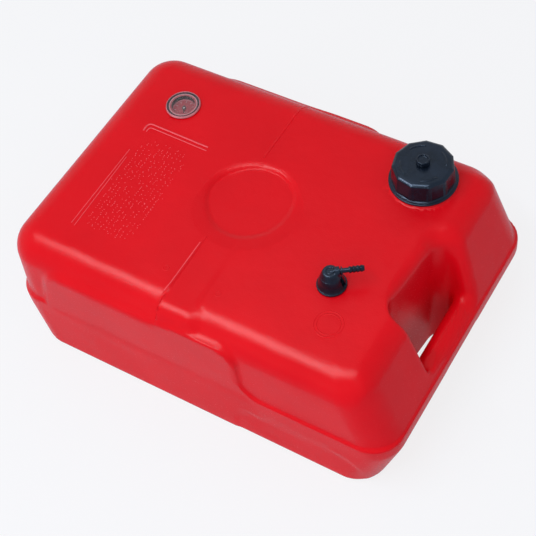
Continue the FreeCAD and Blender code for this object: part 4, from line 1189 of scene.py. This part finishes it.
class FUELTANK_OT_marks(Operator):
    """Lay the raised lines, rings and pips on the tank's top"""
    bl_idname = "fuel_tank.marks"
    bl_label = "Raised marks"

    # Marks by name: their paths, and their shares of the raised lines' width and height
    LINES = {
        "panel_line_left_outer": ([(-0.1934, -0.122), (-0.1941, 0.006)], 0.40, 0.55),
        "panel_line_left_inner": ([(-0.1878, -0.124), (-0.1908, -0.006)], 0.36, 0.5),
        "panel_line_top_outer": (bent_line((-0.1965, 0.0535), (-0.1958, 0.040), (-0.105, 0.0515),
                                           0.010), 0.9, 1.0),
        "panel_line_top_inner": (bent_line((-0.1915, 0.0480), (-0.1913, 0.040), (-0.104, 0.0460),
                                           0.006), 0.6, 0.6),
    }
    RINGS = {
        "ring_mark_left": (circle_points(-0.051, -0.127, 0.0035, 24), 0.5, 0.4),
        "ring_mark_right": (circle_points(0.024, -0.131, 0.0035, 24), 0.5, 0.4),
        "date_ring_outer": (circle_points(0.158, -0.110, 0.0172), 0.6, 0.5),
        "date_ring_inner": (circle_points(0.158, -0.110, 0.0138), 0.6, 0.5),
    }
    # Distance between the sections of every bead; the share of its length in which an end tapers,
    # and how much of it is left there, of the lines and of the channel's beads
    STEP = 0.002
    LINE_TAPER, LINE_ENDS = 0.12, 0.15
    BEAD_TAPER, BEAD_ENDS = 0.3, 0.1
    # Beads beside the channel's left border: distance from it, width, height and finish
    BEAD = (0.0022, 0.0030, 0.0006, "red_polyethylene")
    # The thin bead is drawn in the paler red: a painted highlight line
    THIN_BEAD = (0.0042, 0.0012, 0.0004, "red_rubbed")
    # Where they end, from the outside of the long sides and from the recess
    BEAD_END, THIN_BEAD_END, THIN_BEAD_GAP = 0.012, 0.034, 0.010
    BEAD_PARTS = 39
    # Field of pips on the shallow panel
    PIPS_LENGTH, PIPS_BREADTH = 0.152, 0.076
    PIPS_MIDDLE, PIPS_TURN = (-0.149, -0.043, DROP_START), (0.0, 0.0, 0.03)
    PIP_ROW, PIP_RADIUS, PIP_JITTER = 0.0052, 0.00062, 0.0011

    def execute(self, context):
        tank = context.scene.fuel_tank
        surface = bpy.data.objects["tank_body"]
        self.panel_marks(tank.marks, surface)
        self.channel_beads(tank, surface)
        self.pips(tank.marks, surface)
        return {"FINISHED"}

    def panel_marks(self, marks, surface):
        """The lines round the shallow panel and the rings."""
        for table, closed in ((self.LINES, False), (self.RINGS, True)):
            for name, (points, broad, tall) in table.items():
                # The open lines take the paler red, a painted highlight; the rings take the tank's red
                grown(name, tree_named(bead_tree), path_mesh(name, points, closed), "tank",
                      "red_polyethylene", "red_polyethylene" if closed else "red_rubbed",
                      Surface=surface, Width=broad * marks.bead_width,
                      Height=tall * marks.bead_height, Step=self.STEP, Taper=self.LINE_TAPER,
                      Ends=1.0 if closed else self.LINE_ENDS)

    def channel_beads(self, tank, surface):
        """The beads along the strap channel's left border, before and behind the recess."""
        channel, reach = tank.channel, tank.body.side_reach
        far = channel.recess_radius + channel.recess_slope
        beads = {
            "channel_bead_front": (-reach + self.BEAD_END, -far, self.BEAD),
            "channel_line_front": (-reach + self.THIN_BEAD_END, -far - self.THIN_BEAD_GAP,
                                   self.THIN_BEAD),
            "channel_bead_back": (far, reach - self.BEAD_END, self.BEAD),
        }
        for name, (first, last, (aside, width, height, finish)) in beads.items():
            places = [first + (last - first) * index / self.BEAD_PARTS
                      for index in range(self.BEAD_PARTS + 1)]
            points = [(left_border(channel, y) - aside, y) for y in places]
            grown(name, tree_named(bead_tree), path_mesh(name, points), "tank", "red_polyethylene",
                  finish, Surface=surface, Width=width, Height=height, Step=self.STEP,
                  Taper=self.BEAD_TAPER, Ends=self.BEAD_ENDS)

    def pips(self, marks, surface):
        """The stipple on the shallow panel."""
        # The pips are drawn in the paler red: a painted highlight on them
        grown("panel_pips", tree_named(pip_tree), bpy.data.meshes.new("pips_start"), "tank",
              "red_polyethylene", "red_rubbed", Surface=surface, Length=self.PIPS_LENGTH,
              Breadth=self.PIPS_BREADTH, Rows=int(self.PIPS_BREADTH / self.PIP_ROW),
              Places=int(self.PIPS_LENGTH / marks.pip_pitch), Share=marks.pip_share,
              Radius=self.PIP_RADIUS, Height=marks.pip_height, Jitter=self.PIP_JITTER,
              Turn=self.PIPS_TURN, Middle=self.PIPS_MIDDLE, Seed=marks.pip_seed)


def off_angle(angles, towards, period=math.tau):
    """How far angles are from a direction, or from the nearest one where it comes again."""
    return np.abs((angles - towards + period / 2) % period - period / 2)


def many_sided(sides, turn):
    """How far out a polygon's wall is at an angle, as a share of its corner radius."""
    step = math.tau / sides

    def share_at(angles):
        return math.cos(step / 2) / np.cos(step / 2 - off_angle(angles, turn, step))
    return share_at


class FUELTANK_OT_cap(Operator):
    """Make the filler cap with its thread and top marks"""
    bl_idname = "fuel_tank.cap"
    bl_label = "Filler cap"

    # Tops of the flange and of the step over the cap's foot, start of the chamfer under its top,
    # and the vent boss's end under its ceiling
    FLANGE_UP, STEP_UP, CHAMFER_DOWN, BOSS_DOWN = 0.0026, 0.0042, 0.0024, 0.005
    # Where the flats fade in and over what length: upwards from under the step, and outwards
    FLATS_BELOW, FLATS_RISE = 0.0004, 0.002
    FLATS_RADIUS, FLATS_SPREAD = 0.024, 0.008
    PARTS_PER_SIDE = 20
    THREAD_TURNS, THREAD_UP = 1.2, 0.004
    # Arcs on the top: where the first is, their half width, their height, their parts, and how
    # blunt their ends are and how much is left of them there
    MARK_START = math.radians(41)
    MARK_HALF_WIDTH, MARK_HEIGHT = 0.0013, 0.0011
    MARK_PARTS, MARK_CORNERS = 28, 8
    MARK_BLUNTNESS, MARK_ENDS = 10, 0.02

    def execute(self, context):
        cap = context.scene.fuel_tank.cap
        foot = CAP_LOW.z
        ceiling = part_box("cap_liner")[1].z + HAIR
        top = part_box("vent_seal")[0].z - HAIR
        step_low, step_high = foot + self.FLANGE_UP, foot + self.STEP_UP
        boss_low = ceiling - self.BOSS_DOWN
        outline = softened([
            (cap.shank, boss_low, 0), (cap.boss, boss_low, 0.0005),
            (cap.boss, ceiling, 0.0006), (cap.bore, ceiling, 0.0008), (cap.bore, foot, 0.0005),
            (cap.flange_radius, foot, 0.0008), (cap.flange_radius, step_low, 0.0010),
            (cap.step_radius, step_low + 0.0001, 0.0003), (cap.step_radius, step_high, 0.0008),
            (cap.skirt_low, step_high, 0.0010), (cap.skirt_high, top - self.CHAMFER_DOWN, 0.0016),
            (cap.crown, top, 0.0058), (cap.shank, top, 0),
        ])
        polygon = many_sided(cap.sides, cap.sides_turn)

        def shape(angles, across, up):
            if across <= cap.bore + TINY and up < ceiling + TINY:
                return np.full(len(angles), across)
            flatness = float(ease((up - step_high + self.FLATS_BELOW) / self.FLATS_RISE))
            flatness *= float(ease((across - self.FLATS_RADIUS) / self.FLATS_SPREAD))
            return across * (1 - flatness + flatness * polygon(angles))

        mesh = turned("filler_cap", outline, cap.sides * self.PARTS_PER_SIDE, NECK, shape, 32.0)
        piece("filler_cap", mesh, "cap", "black_nylon", replaces=("cap_shell",))
        thread("cap_thread", "cap", "black_nylon", cap.bore, self.THREAD_TURNS,
               THREAD_LOW + self.THREAD_UP)
        grown("cap_marks", tree_named(spoke_tree), self.arc(cap, top), "cap", "black_nylon",
              Count=cap.mark_count, Start=self.MARK_START, Pitch=math.tau / cap.mark_count,
              Middle=(NECK.x, NECK.y, 0.0))
        return {"FINISHED"}

    def arc(self, cap, top):
        """One raised arc about the Z axis, with a rounded section and rounded ends."""
        steps, section = self.MARK_PARTS, self.MARK_CORNERS
        points, faces = [], []
        for index in range(steps + 1):
            part = index / steps
            angle = (part - 0.5) * cap.mark_sweep
            taper = math.sqrt(max(1 - (2 * part - 1) ** self.MARK_BLUNTNESS, self.MARK_ENDS))
            for corner in range(section):
                turn = math.tau * corner / section
                radius = cap.mark_radius + self.MARK_HALF_WIDTH * taper * math.cos(turn)
                points.append((radius * math.cos(angle), radius * math.sin(angle),
                               top + self.MARK_HEIGHT * taper * math.sin(turn)))
        for index in range(steps):
            for corner in range(section):
                after = (corner + 1) % section
                one, two = index * section, (index + 1) * section
                faces.append((one + corner, one + after, two + after, two + corner))
        faces.append(tuple(range(section)))
        faces.append(tuple(steps * section + corner for corner in range(section)))
        return mesh_from("cap_mark_start", points, faces)


class FUELTANK_OT_vent(Operator):
    """Make the vent screw"""
    bl_idname = "fuel_tank.vent"
    bl_label = "Vent screw"

    SHANK_GAP = 0.05 * MM
    # The knob's rim and the dish inside it: widths, and depths at the edge and in the middle
    RIM_WIDTH, DISH_EDGE = 0.0018, 0.0027
    DISH_DEPTH, DISH_MIDDLE = 0.0018, 0.0014
    # The hollows' depth, and where they start and over what length
    GRIP_DEPTH, GRIP_RADIUS, GRIP_SPREAD = 0.0006, 0.0055, 0.0018

    def execute(self, context):
        cap = context.scene.fuel_tank.cap
        low, high = KNOB_LOW.z, KNOB_HIGH.z
        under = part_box("vent_seal")[1].z + HAIR
        shank, knob = cap.shank - self.SHANK_GAP, cap.knob_radius
        outline = softened([
            (0, low, 0), (shank, low, 0.0004), (shank, under, 0.0003), (knob, under, 0.0006),
            (knob, high, 0.0009), (knob - self.RIM_WIDTH, high, 0.0007),
            (knob - self.DISH_EDGE, high - self.DISH_DEPTH, 0.0008), (0, high - self.DISH_MIDDLE, 0),
        ])

        def shape(angles, across, up):
            if up <= under - 10 * TINY:
                return np.full(len(angles), across)
            grip = ease((across - self.GRIP_RADIUS) / self.GRIP_SPREAD)
            wave = 0.5 + 0.5 * np.cos(cap.knob_grips * angles)
            return across - self.GRIP_DEPTH * grip * wave ** 3

        piece("vent_knob", turned("vent_knob", outline, 160, NECK, shape, 40.0), "vent",
              "black_nylon", replaces=("vent_screw",))
        return {"FINISHED"}


class FUELTANK_OT_nut(Operator):
    """Make the nut that holds the pick-up fitting"""
    bl_idname = "fuel_tank.nut"
    bl_label = "Pick-up nut"

    # Heights of the base ring, of the lip and of the notch, and the waist's share of the cone
    BASE_HEIGHT, LIP_HEIGHT, NOTCH_HEIGHT = 0.0028, 0.0016, 0.0078
    WAIST_SHARE = 0.50
    # Radius of the notch's floor, and the step that ends its wall
    NOTCH_FLOOR, NOTCH_STEP = 0.0115, 1e-5
    # Ribs round the base ring
    RIB_COUNT, RIB_HEIGHT = 24, 0.0003
    # Even angles round the nut, and how far they stay away from the notch, in radians
    PARTS, NOTCH_MARGIN = 120, 0.02

    def execute(self, context):
        pickup = context.scene.fuel_tank.pickup
        low, high = NUT_LOW.z, NUT_HIGH.z
        base = low + self.BASE_HEIGHT
        lip = high - self.LIP_HEIGHT
        notch_high = base + self.NOTCH_HEIGHT
        waist = base + self.WAIST_SHARE * (high - base)
        lean = (pickup.nut_foot - pickup.nut_waist) / (waist - base)
        at_notch = pickup.nut_foot - lean * (notch_high - base)
        outline = softened([
            (pickup.nut_mouth, lip, 0), (pickup.nut_bore, lip, 0.0003), (pickup.nut_bore, low, 0.0003),
            (pickup.nut_base, low, 0.0008), (pickup.nut_base, base, 0.0010),
            (pickup.nut_foot + 0.0003, base, 0.0004), (pickup.nut_foot, base + 0.0004, 0),
            (at_notch, notch_high, 0), (at_notch - self.NOTCH_STEP, notch_high + self.NOTCH_STEP, 0),
            (pickup.nut_waist, waist, 0.0060), (pickup.nut_top, high, 0.0006),
            (pickup.nut_mouth, high, 0.0004),
        ])
        half = 0.5 * pickup.notch_width / pickup.nut_foot

        def shape(turns, across, up):
            beside = off_angle(turns, pickup.notch_azimuth) < half
            level = base - self.NOTCH_STEP <= up <= notch_high + TINY
            cut = beside & level & (across > self.NOTCH_FLOOR)
            on_ring = up < base and across > pickup.nut_foot + 0.0004
            ribs = 0.5 + 0.5 * np.cos(self.RIB_COUNT * turns)
            return np.where(cut, self.NOTCH_FLOOR, across - self.RIB_HEIGHT * ribs * on_ring)

        angles = self.angles(pickup.notch_azimuth, half)
        piece("pickup_cone", turned("pickup_cone", outline, angles, PICKUP, shape), "tank",
              "black_nylon", replaces=("pickup_nut",))
        return {"FINISHED"}

    def angles(self, azimuth, half):
        """Even angles round the nut, with the notch's edges between two close ones each."""
        angles = [math.tau * index / self.PARTS for index in range(self.PARTS)]
        angles = [angle for angle in angles if off_angle(angle, azimuth) > half + self.NOTCH_MARGIN]
        for share_of_half in (-1.01, -0.99, -0.5, 0.0, 0.5, 0.99, 1.01):
            angles.append(azimuth + share_of_half * half)
        return np.array(sorted(angle % math.tau for angle in angles))


# Heights: the tail's axis under the head's top, the gap over the nut, how far the neck runs into
# the head, half the flange's thickness, and the chamber's roof under the tail's axis
TAIL_DOWN, HEAD_GAP, NECK_OVERLAP = 0.0064, 0.2 * MM, 0.001
FLANGE_HALF, CHAMBER_ROOF = 0.00065, 0.0005
# Groove on the head's top: depth, radius and half width
GROOVE_DEPTH, GROOVE_RADIUS, GROOVE_HALF = 0.0005, 0.0046, 0.0009
# Along the tail, from the head's axis: ends of the side boss, the collar with its half width, and
# where the bore starts
BOSS_START, BOSS_END = 0.0045, 0.0106
COLLAR_PLACE, COLLAR_HALF = 0.0128, 0.0009
BORE_START = 0.002
# Number of barbs, and how much sooner than their end they are down to the tail
BARBS, BARB_STEEPNESS = 4, 1.25
# Rounded edges of the head's top, of the side boss, of the collar, of the tail's end and of the rest
HEAD_EDGE, BOSS_EDGE, COLLAR_EDGE, TAIL_EDGE, FINE_EDGE = 0.0016, 0.0010, 0.0003, 0.0004, 0.0002
BOSS_FILLET = 0.0012


def tail_growth(pickup, along):
    """How far the barbs stand out of the hose tail."""
    barbed = pickup.tail_length - BARBS * pickup.barb_pitch
    phase = (along - barbed) % pickup.barb_pitch / pickup.barb_pitch
    height = np.clip(BARB_STEEPNESS - BARB_STEEPNESS * phase, 0, 1)
    on_barbs = (along > barbed) & (along < pickup.tail_length)
    return np.where(on_barbs, (pickup.barb_radius - pickup.tail_radius) * height, 0.0)


def elbow_field(pickup, x, y, z):
    """Swivelling head with its side boss, collar and barbed tail."""
    turn_x, turn_y = math.cos(pickup.tail_azimuth), math.sin(pickup.tail_azimuth)
    off_x, off_y = x - PICKUP.x, y - PICKUP.y
    along = off_x * turn_x + off_y * turn_y
    aside = off_y * turn_x - off_x * turn_y
    from_axis = np.hypot(off_x, off_y)
    low, high = HEAD_LOW.z, HEAD_HIGH.z
    head_low = NUT_HIGH.z + HEAD_GAP
    head_high = high - pickup.head_drop
    tail_up = high - TAIL_DOWN
    from_tail = np.hypot(aside, z - tail_up)

    groove = GROOVE_DEPTH * ease(1 - np.abs(from_axis - GROOVE_RADIUS) / GROOVE_HALF)
    widening = (pickup.head_foot - pickup.head_radius) * ((head_high - z) / (head_high - head_low))
    head = rounded_and(from_axis - pickup.head_radius - widening, z - head_high + groove, HEAD_EDGE)
    head = rounded_and(head, head_low - z, FINE_EDGE)
    neck = np.maximum(from_axis - pickup.neck_radius,
                      np.maximum(low - z, z - head_low - NECK_OVERLAP))
    flange = rounded_and(from_axis - pickup.flange_radius,
                         np.abs(z - low - FLANGE_HALF) - FLANGE_HALF, FINE_EDGE)
    boss = rounded_and(from_tail - pickup.shoulder_radius, along - BOSS_END, BOSS_EDGE)
    boss = rounded_and(boss, BOSS_START - along, BOSS_EDGE)
    collar = rounded_and(from_tail - pickup.collar_radius,
                         np.abs(along - COLLAR_PLACE) - COLLAR_HALF, COLLAR_EDGE)
    tail = rounded_and(from_tail - pickup.tail_radius - tail_growth(pickup, along),
                       along - pickup.tail_length, TAIL_EDGE)
    tail = np.maximum(tail, -along)

    form = rounded_or(head, boss, BOSS_FILLET)
    for part in (collar, tail, neck, flange):
        form = np.minimum(form, part)
    bore = np.maximum(from_tail - pickup.tail_bore, BORE_START - along)
    chamber = np.maximum(from_axis - pickup.chamber, z - tail_up + CHAMBER_ROOF)
    return np.maximum(form, -np.minimum(bore, chamber))


class FUELTANK_OT_elbow(Operator):
    """Make the swivelling hose tail"""
    bl_idname = "fuel_tank.elbow"
    bl_label = "Hose tail"

    CELL = 0.00042

    def execute(self, context):
        pickup = context.scene.fuel_tank.pickup
        foot = Vector((pickup.head_foot, pickup.head_foot, 0.0))
        low = [min(pair) for pair in zip(HEAD_LOW, PICKUP - foot)]
        high = [max(pair) for pair in zip(HEAD_HIGH, PICKUP + foot)]
        mesh = moulded("hose_tail", lambda x, y, z: elbow_field(pickup, x, y, z),
                       low[:2] + [HEAD_LOW.z], high[:2] + [HEAD_HIGH.z], self.CELL)
        piece("hose_tail", mesh, "elbow", "black_nylon", replaces=("pickup_elbow",))
        return {"FINISHED"}


class FUELTANK_OT_gauge(Operator):
    """Make the gauge's window, bright rim and dial marks"""
    bl_idname = "fuel_tank.gauge"
    bl_label = "Fuel gauge"

    PARTS = 96
    # Window: its rim under its crown, its plug in the cup, and the step round the clear middle
    RIM_DOWN, PLUG_GAP, PLUG_DEPTH = 0.0010, 0.0012, 0.0006
    STEP_WIDTH, STEP_DOWN = 0.0012, 0.0003
    # Bright rim: the height of its chamfer
    CHAMFER_DOWN = 0.0016
    # Ring on the dial: inner radii at its foot and at its top, and height
    SEAT_FOOT, SEAT_TOP, SEAT_HEIGHT = 0.0136, 0.0140, 0.0016
    # Ring round the dial and the line on it: heights, and the line's edges inside the ring's edge
    SURROUND_HEIGHT, LINE_LOW, LINE_HIGH = 0.0005, 0.0004, 0.00075
    LINE_INNER, LINE_OUTER = 0.0013, 0.0006
    # Marks on the dial: near and far end, width, height, and the angles that they cover
    TICK_NEAR, TICK_FAR, TICK_WIDTH, TICK_HEIGHT = 0.0102, 0.0128, 0.0007, 0.00015
    TICK_START, TICK_SWEEP = math.radians(-60), math.radians(270)

    def execute(self, context):
        gauge = context.scene.fuel_tank.gauge
        low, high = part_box("gauge_housing")[1].z, LENS_HIGH.z
        rim = high - self.RIM_DOWN
        dial_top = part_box("gauge_dial")[1].z
        self.window(gauge, low, rim, high)
        self.rings(gauge, low, dial_top)
        tick = mesh_from("tick_start", *self.block(dial_top))
        grown("dial_ticks", tree_named(spoke_tree), tick, "tank", "dial_print", "dial_mark",
              Count=gauge.ticks, Start=self.TICK_START, Pitch=self.TICK_SWEEP / (gauge.ticks - 1),
              Middle=(GAUGE.x, GAUGE.y, 0.0))
        return {"FINISHED"}

    def window(self, gauge, low, rim, high):
        """The clear window and its bright rim."""
        plug, plug_low = gauge.cup_radius - self.PLUG_GAP, low - self.PLUG_DEPTH
        flange, flange_low = gauge.bezel_inner - HAIR, low + self.PLUG_DEPTH
        lathed("gauge_window", [
            (0, plug_low, 0), (plug, plug_low, 0.0003), (plug, flange_low, 0),
            (flange, flange_low, 0.0003), (flange, rim, 0.0006),
            (gauge.lens_clear + self.STEP_WIDTH, rim, 0.0006),
            (gauge.lens_clear, high - self.STEP_DOWN, 0.0006), (0, high, 0),
        ], self.PARTS, GAUGE, "tank", "clear_window", replaces=("gauge_lens",))
        rim_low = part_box("gauge_gasket")[1].z
        lathed("gauge_rim", [
            (gauge.bezel_inner + 0.0004, rim_low, 0), (gauge.lens_radius, rim_low, 0.0004),
            (gauge.lens_radius, rim - self.CHAMFER_DOWN, 0.0008),
            (gauge.bezel_inner + 0.0005, rim + 0.0002, 0.0005),
            (gauge.bezel_inner, rim, 0), (gauge.bezel_inner, low, 0),
        ], self.PARTS, GAUGE, "tank", "clear_window", "window_rim")

    def rings(self, gauge, low, dial_top):
        """The ring that holds the dial, the ring round it and the line on that."""
        seat, seat_top = gauge.cup_radius - HAIR, dial_top + self.SEAT_HEIGHT
        lathed("dial_ring", [
            (self.SEAT_FOOT, dial_top, 0), (seat, dial_top, 0), (seat, seat_top, 0.0005),
            (self.SEAT_TOP, seat_top, 0.0006),
        ], self.PARTS, GAUGE, "tank", "clear_window", "window_rim")
        inner, outer, surround_top = gauge.cup_radius, gauge.surround, low + self.SURROUND_HEIGHT
        lathed("dial_surround", [
            (inner, low, 0), (outer, low, 0), (outer, surround_top, 0.0002),
            (inner, surround_top, 0.0002),
        ], self.PARTS, GAUGE, "tank", "dial_print")
        inner, outer = gauge.surround - self.LINE_INNER, gauge.surround - self.LINE_OUTER
        line_low, line_top = low + self.LINE_LOW, low + self.LINE_HIGH
        lathed("dial_line", [
            (inner, line_low, 0), (outer, line_low, 0), (outer, line_top, 0.0001),
            (inner, line_top, 0.0001),
        ], self.PARTS, GAUGE, "tank", "dial_print", "dial_mark")

    def block(self, base):
        """One mark on the dial: a small wedge that lies along +X."""
        near, far, width = self.TICK_NEAR, self.TICK_FAR, self.TICK_WIDTH
        points = []
        for up in (base - HAIR, base + self.TICK_HEIGHT):
            points += [(near, -width / 2, up), (far, -width * 0.8, up), (far, width * 0.8, up),
                       (near, width / 2, up)]
        faces = [(0, 3, 2, 1), (4, 5, 6, 7), (0, 1, 5, 4), (1, 2, 6, 5), (2, 3, 7, 6), (3, 0, 4, 7)]
        return points, faces


class FUELTANK_OT_inner_parts(Operator):
    """Give the parts that keep their own shape their finishes"""
    bl_idname = "fuel_tank.inner_parts"
    bl_label = "Inner parts"

    NODE_FINISHES = {
        "cap_liner": "natural_polyethylene",
        "cap_gasket": "black_rubber",
        "vent_seal": "black_rubber",
        "pickup_gasket": "black_rubber",
        "pickup_stem": "black_nylon",
        "pickup_oring": "black_rubber",
        "dip_tube": "natural_polyethylene",
        "pickup_strainer": "natural_polyethylene",
        "gauge_gasket": "black_rubber",
        "gauge_housing": "black_nylon",
        "gauge_dial": "dial_print",
        "gauge_pointer": "pointer_black",
        "gauge_spindle": "steel_strip",
        "gauge_guide_rods": "aluminium_rod",
        "gauge_foot": "natural_polyethylene",
        "gauge_float": "float_foam",
        "gauge_driver": "natural_polyethylene",
    }

    def execute(self, context):
        for name, finish in self.NODE_FINISHES.items():
            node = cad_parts[name]
            node.data.materials.clear()
            node.data.materials.append(finish_named(finish))
        return {"FINISHED"}


def soft_lamp(name, power, place, target, breadth, lights, shines):
    """A rectangular lamp; it can leave out the light that is spread or the light that is mirrored."""
    lamp = bpy.data.lights.new(name, "AREA")
    lamp.shape = "RECTANGLE"
    lamp.size, lamp.size_y = breadth
    lamp.energy = power
    holder = bpy.data.objects.new(name, lamp)
    holder.location = place
    holder.rotation_mode = "QUATERNION"
    holder.rotation_quaternion = (Vector(target) - Vector(place)).to_track_quat("-Z", "Y")
    holder.visible_diffuse = lights
    holder.visible_glossy = shines
    bpy.context.scene.collection.objects.link(holder)


class FUELTANK_OT_stage(Operator):
    """Set the camera, the lamps, the floor and the plain surroundings"""
    bl_idname = "fuel_tank.stage"
    bl_label = "Stage"

    CAMERA_PLACE = (0.6279, -0.7617, 1.4235)
    CAMERA_RIGHT = (0.85373, 0.50867, -0.11136)
    CAMERA_DOWN = (0.361453, -0.732856, -0.576434)
    CAMERA_FORWARD = (-0.374823, 0.451866, -0.809524)
    LENS = 88.25
    SENSOR = 36.0
    CLIP_START, CLIP_END = 0.05, 20.0
    # Name, setting of the power, place, target, breadth, whether it lights and whether it is mirrored
    LAMPS = (
        ("key_lamp", "key", (-0.32, -0.74, 1.93), (0.0, 0.0, 0.10), (1.5, 0.12), True, True),
        ("sheen_lamp", "sheen", (-0.76, -0.88, 1.90), (0.0, 0.0, 0.15), (1.36, 0.25), False, True),
        ("ridge_lamp", "ridge", (0.12, -0.30, 2.10), (0.1, 0.0, 0.15), (0.5, 0.5), False, True),
        ("front_lamp", "fill", (-0.4, -2.1, 0.8), (0.0, 0.0, 0.05), (1.6, 0.8), True, False),
        ("side_lamp", "side", (1.1, -1.3, 1.5), (0.2, 0.0, 0.10), (1.0, 1.0), True, False),
        ("glow_lamp", "glow", (-0.50, 0.55, 2.0), (0.18, -0.16, 0.18), (0.7, 0.7), False, True),
    )
    # How white the floor is to the camera and to glossy and transmission rays, its reach to each
    # side, and the tint of its paper
    SEEN_WHITE, MIRRORED_WHITE = 0.8, 0.30
    FLOOR_REACH = 6
    PAPER_TINT = (0.84, 0.89, 1.06)

    def execute(self, context):
        stage = context.scene.fuel_tank.stage
        scene = context.scene
        scene.view_settings.view_transform = "Standard"
        lens = bpy.data.cameras.new("camera")
        lens.lens, lens.sensor_width = self.LENS, self.SENSOR
        lens.clip_start, lens.clip_end = self.CLIP_START, self.CLIP_END
        camera = bpy.data.objects.new("camera", lens)
        right, down = Vector(self.CAMERA_RIGHT), Vector(self.CAMERA_DOWN)
        forward = Vector(self.CAMERA_FORWARD)
        turned_to = Matrix((right, -down, -forward)).transposed()
        camera.matrix_world = Matrix.Translation(self.CAMERA_PLACE) @ turned_to.to_4x4()
        scene.collection.objects.link(camera)
        scene.camera = camera
        self.surroundings(scene, stage)
        self.floor(scene, stage)
        for name, power, *rest in self.LAMPS:
            soft_lamp(name, getattr(stage, power), *rest)
        return {"FINISHED"}

    @staticmethod
    def seen_white(tree):
        """1 for what the camera sees, and 1 for what glossy and transmission rays see."""
        path = tree.node("ShaderNodeLightPath")
        direct = Value(tree, path.outputs["Is Camera Ray"])
        mirrored = 0.0
        for ray in ("Is Glossy Ray", "Is Transmission Ray"):
            mirrored = mirrored + Value(tree, path.outputs[ray])
        return direct, mirrored.clamped()

    def surroundings(self, scene, stage):
        world = bpy.data.worlds.new("surroundings")
        world.use_nodes = True
        world.node_tree.nodes.clear()
        tree = Tree(world.node_tree)
        direct, mirrored = self.seen_white(tree)
        seen = (direct + mirrored).clamped()
        strength = seen + (1 - seen) * stage.sky
        shader = tree.out("ShaderNodeBackground", {}, {"Color": (1.0, 1.0, 1.0, 1.0),
                                                       "Strength": strength})
        tree.node("ShaderNodeOutputWorld", {}, {"Surface": shader})
        scene.world = world

    def floor(self, scene, stage):
        far = self.FLOOR_REACH
        corners = [(-far, -far, 0), (far, -far, 0), (far, far, 0), (-far, far, 0)]
        mesh = mesh_from("floor", corners, [(0, 1, 2, 3)])
        floor = bpy.data.objects.new("floor", mesh)
        scene.collection.objects.link(floor)
        material, tree = material_tree("floor_paper")
        shade = scaled_shade(self.PAPER_TINT, stage.floor)
        paper = tree.out("ShaderNodeBsdfDiffuse", {}, {"Color": (*shade, 1.0)})
        glow = tree.out("ShaderNodeEmission", {}, {"Color": (1.0, 1.0, 1.0, 1.0), "Strength": 1.0})
        direct, mirrored = self.seen_white(tree)
        whitened = direct * self.SEEN_WHITE + (1 - direct) * mirrored * self.MIRRORED_WHITE
        shader = tree.out("ShaderNodeMixShader", {}, {0: whitened, 1: paper, 2: glow})
        finished(material, tree, shader)
        mesh.materials.append(material)


class FUELTANK_PT_panel(Panel):
    """Lists the tank's makers in the sidebar"""
    bl_idname = "FUELTANK_PT_panel"
    bl_label = "Fuel tank"
    bl_space_type = "VIEW_3D"
    bl_region_type = "UI"
    bl_category = "Fuel tank"

    def draw(self, context):
        for maker in OPERATORS:
            self.layout.operator(maker.bl_idname)


OPERATORS = (
    FUELTANK_OT_stage, FUELTANK_OT_body, FUELTANK_OT_openings, FUELTANK_OT_marks, FUELTANK_OT_cap,
    FUELTANK_OT_vent, FUELTANK_OT_nut, FUELTANK_OT_elbow, FUELTANK_OT_gauge, FUELTANK_OT_inner_parts,
)
SETTINGS = (BodySizes, ChannelSizes, HandleSizes, MarkSizes, CapSizes, PickupSizes, GaugeSizes,
            Finishes, StageSettings, FuelTank)


def register():
    for kind in SETTINGS + OPERATORS + (FUELTANK_PT_panel,):
        bpy.utils.register_class(kind)
    bpy.types.Scene.fuel_tank = PointerProperty(type=FuelTank)


def unregister():
    del bpy.types.Scene.fuel_tank
    for kind in reversed(SETTINGS + OPERATORS + (FUELTANK_PT_panel,)):
        bpy.utils.unregister_class(kind)


def main():
    register()
    for maker in OPERATORS:
        family, name = maker.bl_idname.split(".")
        getattr(getattr(bpy.ops, family), name)()


if __name__ == "__main__":
    main()
